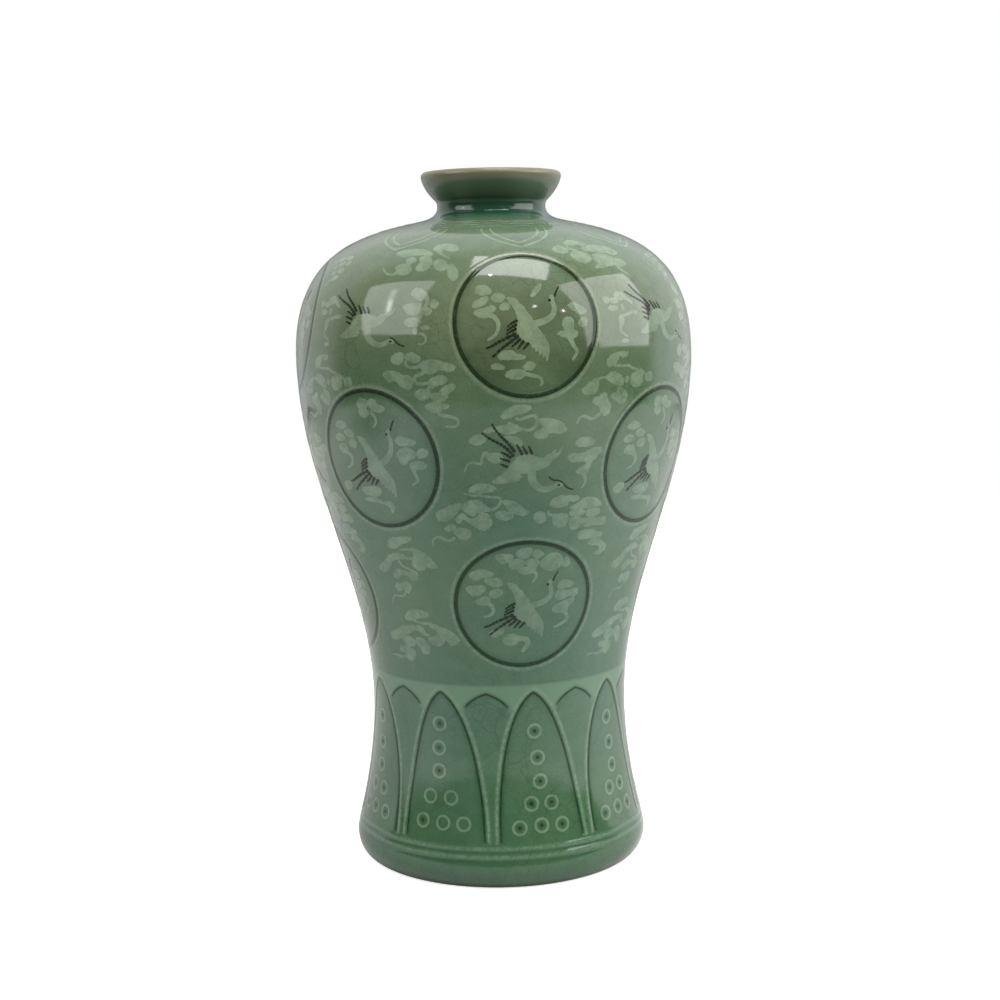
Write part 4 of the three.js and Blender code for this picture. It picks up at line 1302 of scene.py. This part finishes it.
def add_collar(pale):
    """Lappets that hang from the neck, each a double line, and the fine wavy lines over them."""
    for name, half, tip, width in (("outer", 14.5, 278.6, 1.1), ("inner", 10.5, 281.9, 1.0)):
        shape = arch(math.radians(half), LAPPET_TOP, tip, LAPPET_SHAPE, 20)
        lappets = [arch_line(shape, math.radians(LAPPET_TURN + 45 * i), 0) for i in range(8)]
        finish_piece(make_line(f"collar_{name}", lappets, False, width, CLOUD_LIFT), pale, "slip")
    turns = 2 * math.pi * np.arange(WAVE_STEPS) / WAVE_STEPS
    waves = [np.stack([turns, wave_line(k, turns)], -1) for k in range(len(WAVES))]
    finish_piece(make_line("collar_waves", waves, True, WAVE_LINE_W, CLOUD_LIFT), pale, "slip")


def build_vase():
    wall = body_glaze()
    line = dark_glaze("dark_slip", LINE_TONE)
    black = dark_glaze("black_slip", BLACK_TONE)
    white = slip_glaze("white_slip", 0.07, 0.14, 0.13)
    pale = slip_glaze("cloud_slip", 0.08, 0.13, 0.17)
    stamped = slip_glaze("stamp_slip", 0.17, 0.17, 0.08)
    well = Glaze("stamp_well", blend(GROUND, POOL_TONE, 0.35, 0.35)).mat
    finish_piece(make_body(), wall, "wall", "base", "lower_body", "upper_body", "neck_mouth",
                 "base_slip", "belly_slip", "neck_slip")
    add_lines(line)
    add_cranes_and_clouds(white, black, pale)
    add_stamps(stamped, well, line)
    add_collar(pale)


# Studio

AIM = (0, 0, 0.2)
LENS = 59.84
SENSOR = 36
SHIFT = (0.0040, 0.0007)
TILT = 7.30
ROLL = 0.93
CAMERA_AT = (0, -0.7323, 0.2502)
# As the glaze mirrors it, the table has painted shadows, dim in front of the vase, at its sides and far
# behind
# it: each spot's centre, reach and near and far share.
TABLE_SEEN = (0.66, 0.66, 0.68)
TABLE_LIT = (0.6, 0.6, 0.61)
TABLE_SHADOW_SPOTS = (((0, -0.45), (0.15, 0.5), (0.4, 1)), ((-0.28, 0.18), (0.1, 0.4), (0.74, 1)),
               ((0.2, 0.24), (0.05, 0.3), (0.64, 1)), ((0, 0.8), (0.2, 0.6), (0.35, 1)),
               ((-0.72, -0.2), (0.08, 0.28), (0.45, 1)), ((0, 0.35), (0.92, 1.24), (1, 0.3)))
ROOM = (0.30, 0.20, 0.12)
SWEEP = (1.32, 1.33, 1.36)


def area(name, azimuth, elevation, size, radiance, turns=(0, 0, 0), glossy=True, away=1.5):
    """A soft panel, placed by azimuth from the front, positive to the viewer's right, and elevation.
    It faces the vase and is then turned about its own z, y and x axes, in degrees."""
    a, e = math.radians(azimuth), math.radians(elevation)
    out = Vector((math.sin(a) * math.cos(e), -math.cos(a) * math.cos(e), math.sin(e)))
    light = bpy.data.lights.new(name, "AREA")
    light.shape = "RECTANGLE"
    light.size, light.size_y = size
    light.energy = radiance * math.pi * size[0] * size[1]
    facing = out.to_track_quat("Z", "Y").to_matrix()
    for angle, axis in zip(turns, "ZYX"):
        facing = facing @ Matrix.Rotation(math.radians(angle), 3, axis)
    obj = bpy.data.objects.new(name, light)
    obj.matrix_world = Matrix.Translation(Vector(AIM) + out * away) @ facing.to_4x4()
    obj.visible_camera = False
    obj.visible_glossy = glossy
    bpy.context.collection.objects.link(obj)


def make_world():
    """White to the camera; to the vase a white sweep behind it and round its sides, and a dim room in
    front."""
    world = bpy.data.worlds.new("studio")
    world.use_nodes = True
    bpy.context.scene.world = world
    t = world.node_tree
    t.nodes.clear()
    x, y, z = node(t, "ShaderNodeSeparateXYZ", node(t, "ShaderNodeTexCoord").outputs["Generated"]).outputs
    dim = mix(t, "MULTIPLY", 1.0, ROOM, ramp(t, [(0.02, 0.2), (0.45, 1.0)], z))
    sweep = mix(t, "MULTIPLY", 1.0, SWEEP, ramp(t, [(0.1, 0.77), (0.5, 0.91), (0.85, 1.0)], x))
    far = ramp(t, [(0.6, 1.0), (0.85, 0.88), (0.95, 0.5), (1.0, 0.15)], y)
    sweep = mix(t, "MULTIPLY", 1.0, sweep, far)
    seen = mix(t, "MIX", smooth_range(t, y, 0.04, 0.36), dim, sweep)
    room, paper = (node(t, "ShaderNodeBackground", colour).outputs[0] for colour in (seen, (1, 1, 1)))
    by_camera = node(t, "ShaderNodeLightPath").outputs["Is Camera Ray"]
    both = node(t, "ShaderNodeMixShader", by_camera, room, paper).outputs[0]
    node(t, "ShaderNodeOutputWorld", both)


def by_distance(tree, where, centre, reach, values):
    """A value that runs from the first to the second over a reach from a place on the table."""
    apart = node(tree, "ShaderNodeVectorMath", where, (*centre, 0), operation="DISTANCE")
    return smooth_range(tree, apart.outputs["Value"], *reach, *values)


def make_floor():
    """White table under the vase: it keeps the shadow near the foot and is plain white farther off; as the
    glaze mirrors it, it has painted shadows.
    """
    mesh = bpy.data.meshes.new("floor")
    mesh.from_pydata([(-1, -0.8, 0), (1, -0.8, 0), (1, 1.2, 0), (-1, 1.2, 0)], [], [(0, 1, 2, 3)])
    obj = bpy.data.objects.new("floor", mesh)
    bpy.context.collection.objects.link(obj)
    mat = bpy.data.materials.new("paper")
    mat.use_nodes = True
    t = mat.node_tree
    t.nodes.clear()
    path = node(t, "ShaderNodeLightPath").outputs
    where = node(t, "ShaderNodeTexCoord").outputs["Object"]
    seen = TABLE_SEEN
    # Painted shadows on the table, seen only in the glaze's reflection.
    for spot in TABLE_SHADOW_SPOTS:
        seen = mix(t, "MULTIPLY", 1.0, seen, by_distance(t, where, *spot))
    grey = mix(t, "MIX", path["Is Glossy Ray"], TABLE_LIT, seen)
    lit = node(t, "ShaderNodeBsdfDiffuse", grey).outputs[0]
    white = by_distance(t, where, (0, 0), (0.08, 0.3), (0.75, 1))
    glow = node(t, "ShaderNodeEmission", Strength=white).outputs[0]
    both = node(t, "ShaderNodeAddShader", lit, glow).outputs[0]
    shown = node(t, "ShaderNodeMixShader", path["Is Camera Ray"], lit, both).outputs[0]
    node(t, "ShaderNodeOutputMaterial", shown)
    mesh.materials.append(mat)


def make_camera():
    cam = bpy.data.cameras.new("camera")
    cam.lens = LENS
    cam.sensor_width = SENSOR
    cam.shift_x, cam.shift_y = SHIFT
    obj = bpy.data.objects.new("camera", cam)
    tilt = Matrix.Rotation(math.radians(90 - TILT), 4, "X") @ Matrix.Rotation(math.radians(-ROLL), 4, "Z")
    obj.matrix_world = Matrix.Translation(CAMERA_AT) @ tilt
    bpy.context.collection.objects.link(obj)
    bpy.context.scene.camera = obj
    bpy.context.scene.view_settings.view_transform = "Standard"


def make_lights():
    """Three panels, the bulb in the left one, a soft fill that the glaze doesn't mirror, and small lamps."""
    area("panel_left", -68.6, 29.6, (1.10, 1.03), 3.2, (18, 30.5, 4))
    area("panel_right", 78.5, 25.2, (1.33, 1.24), 3.9, (-6.4, -9.8, -0.4))
    area("panel_top", 38.3, 76.4, (0.83, 0.84), 7.3, (-45, -13, 34.5))
    # The bulb shows through the cloth of the left panel as a soft streak, in layers that add up.
    upper, lower = (-66.5, 32.5), (-64.8, 28.6)
    streak = ((upper, (0.11, 0.46), 0.8), (upper, (0.08, 0.41), 1.0), (upper, (0.05, 0.36), 1.6),
              (lower, (0.06, 0.20), 2.5), (lower, (0.04, 0.13), 3.2))
    for i, (at, size, glow) in enumerate(streak):
        area(f"glow_{i + 1}", *at, size, glow, (15.5, 0, 0), away=1.25 - 0.02 * i)
    area("fill", 20, 60, (1.3, 1.3), 4.8, glossy=False)
    for i, at in enumerate(((-2.6, 65.0), (25.1, 31.2), (41.7, 26.2))):
        area(f"lamp_{i + 1}", *at, (0.03, 0.03), 60.0)


build_vase()
make_world()
make_lights()
make_floor()
make_camera()
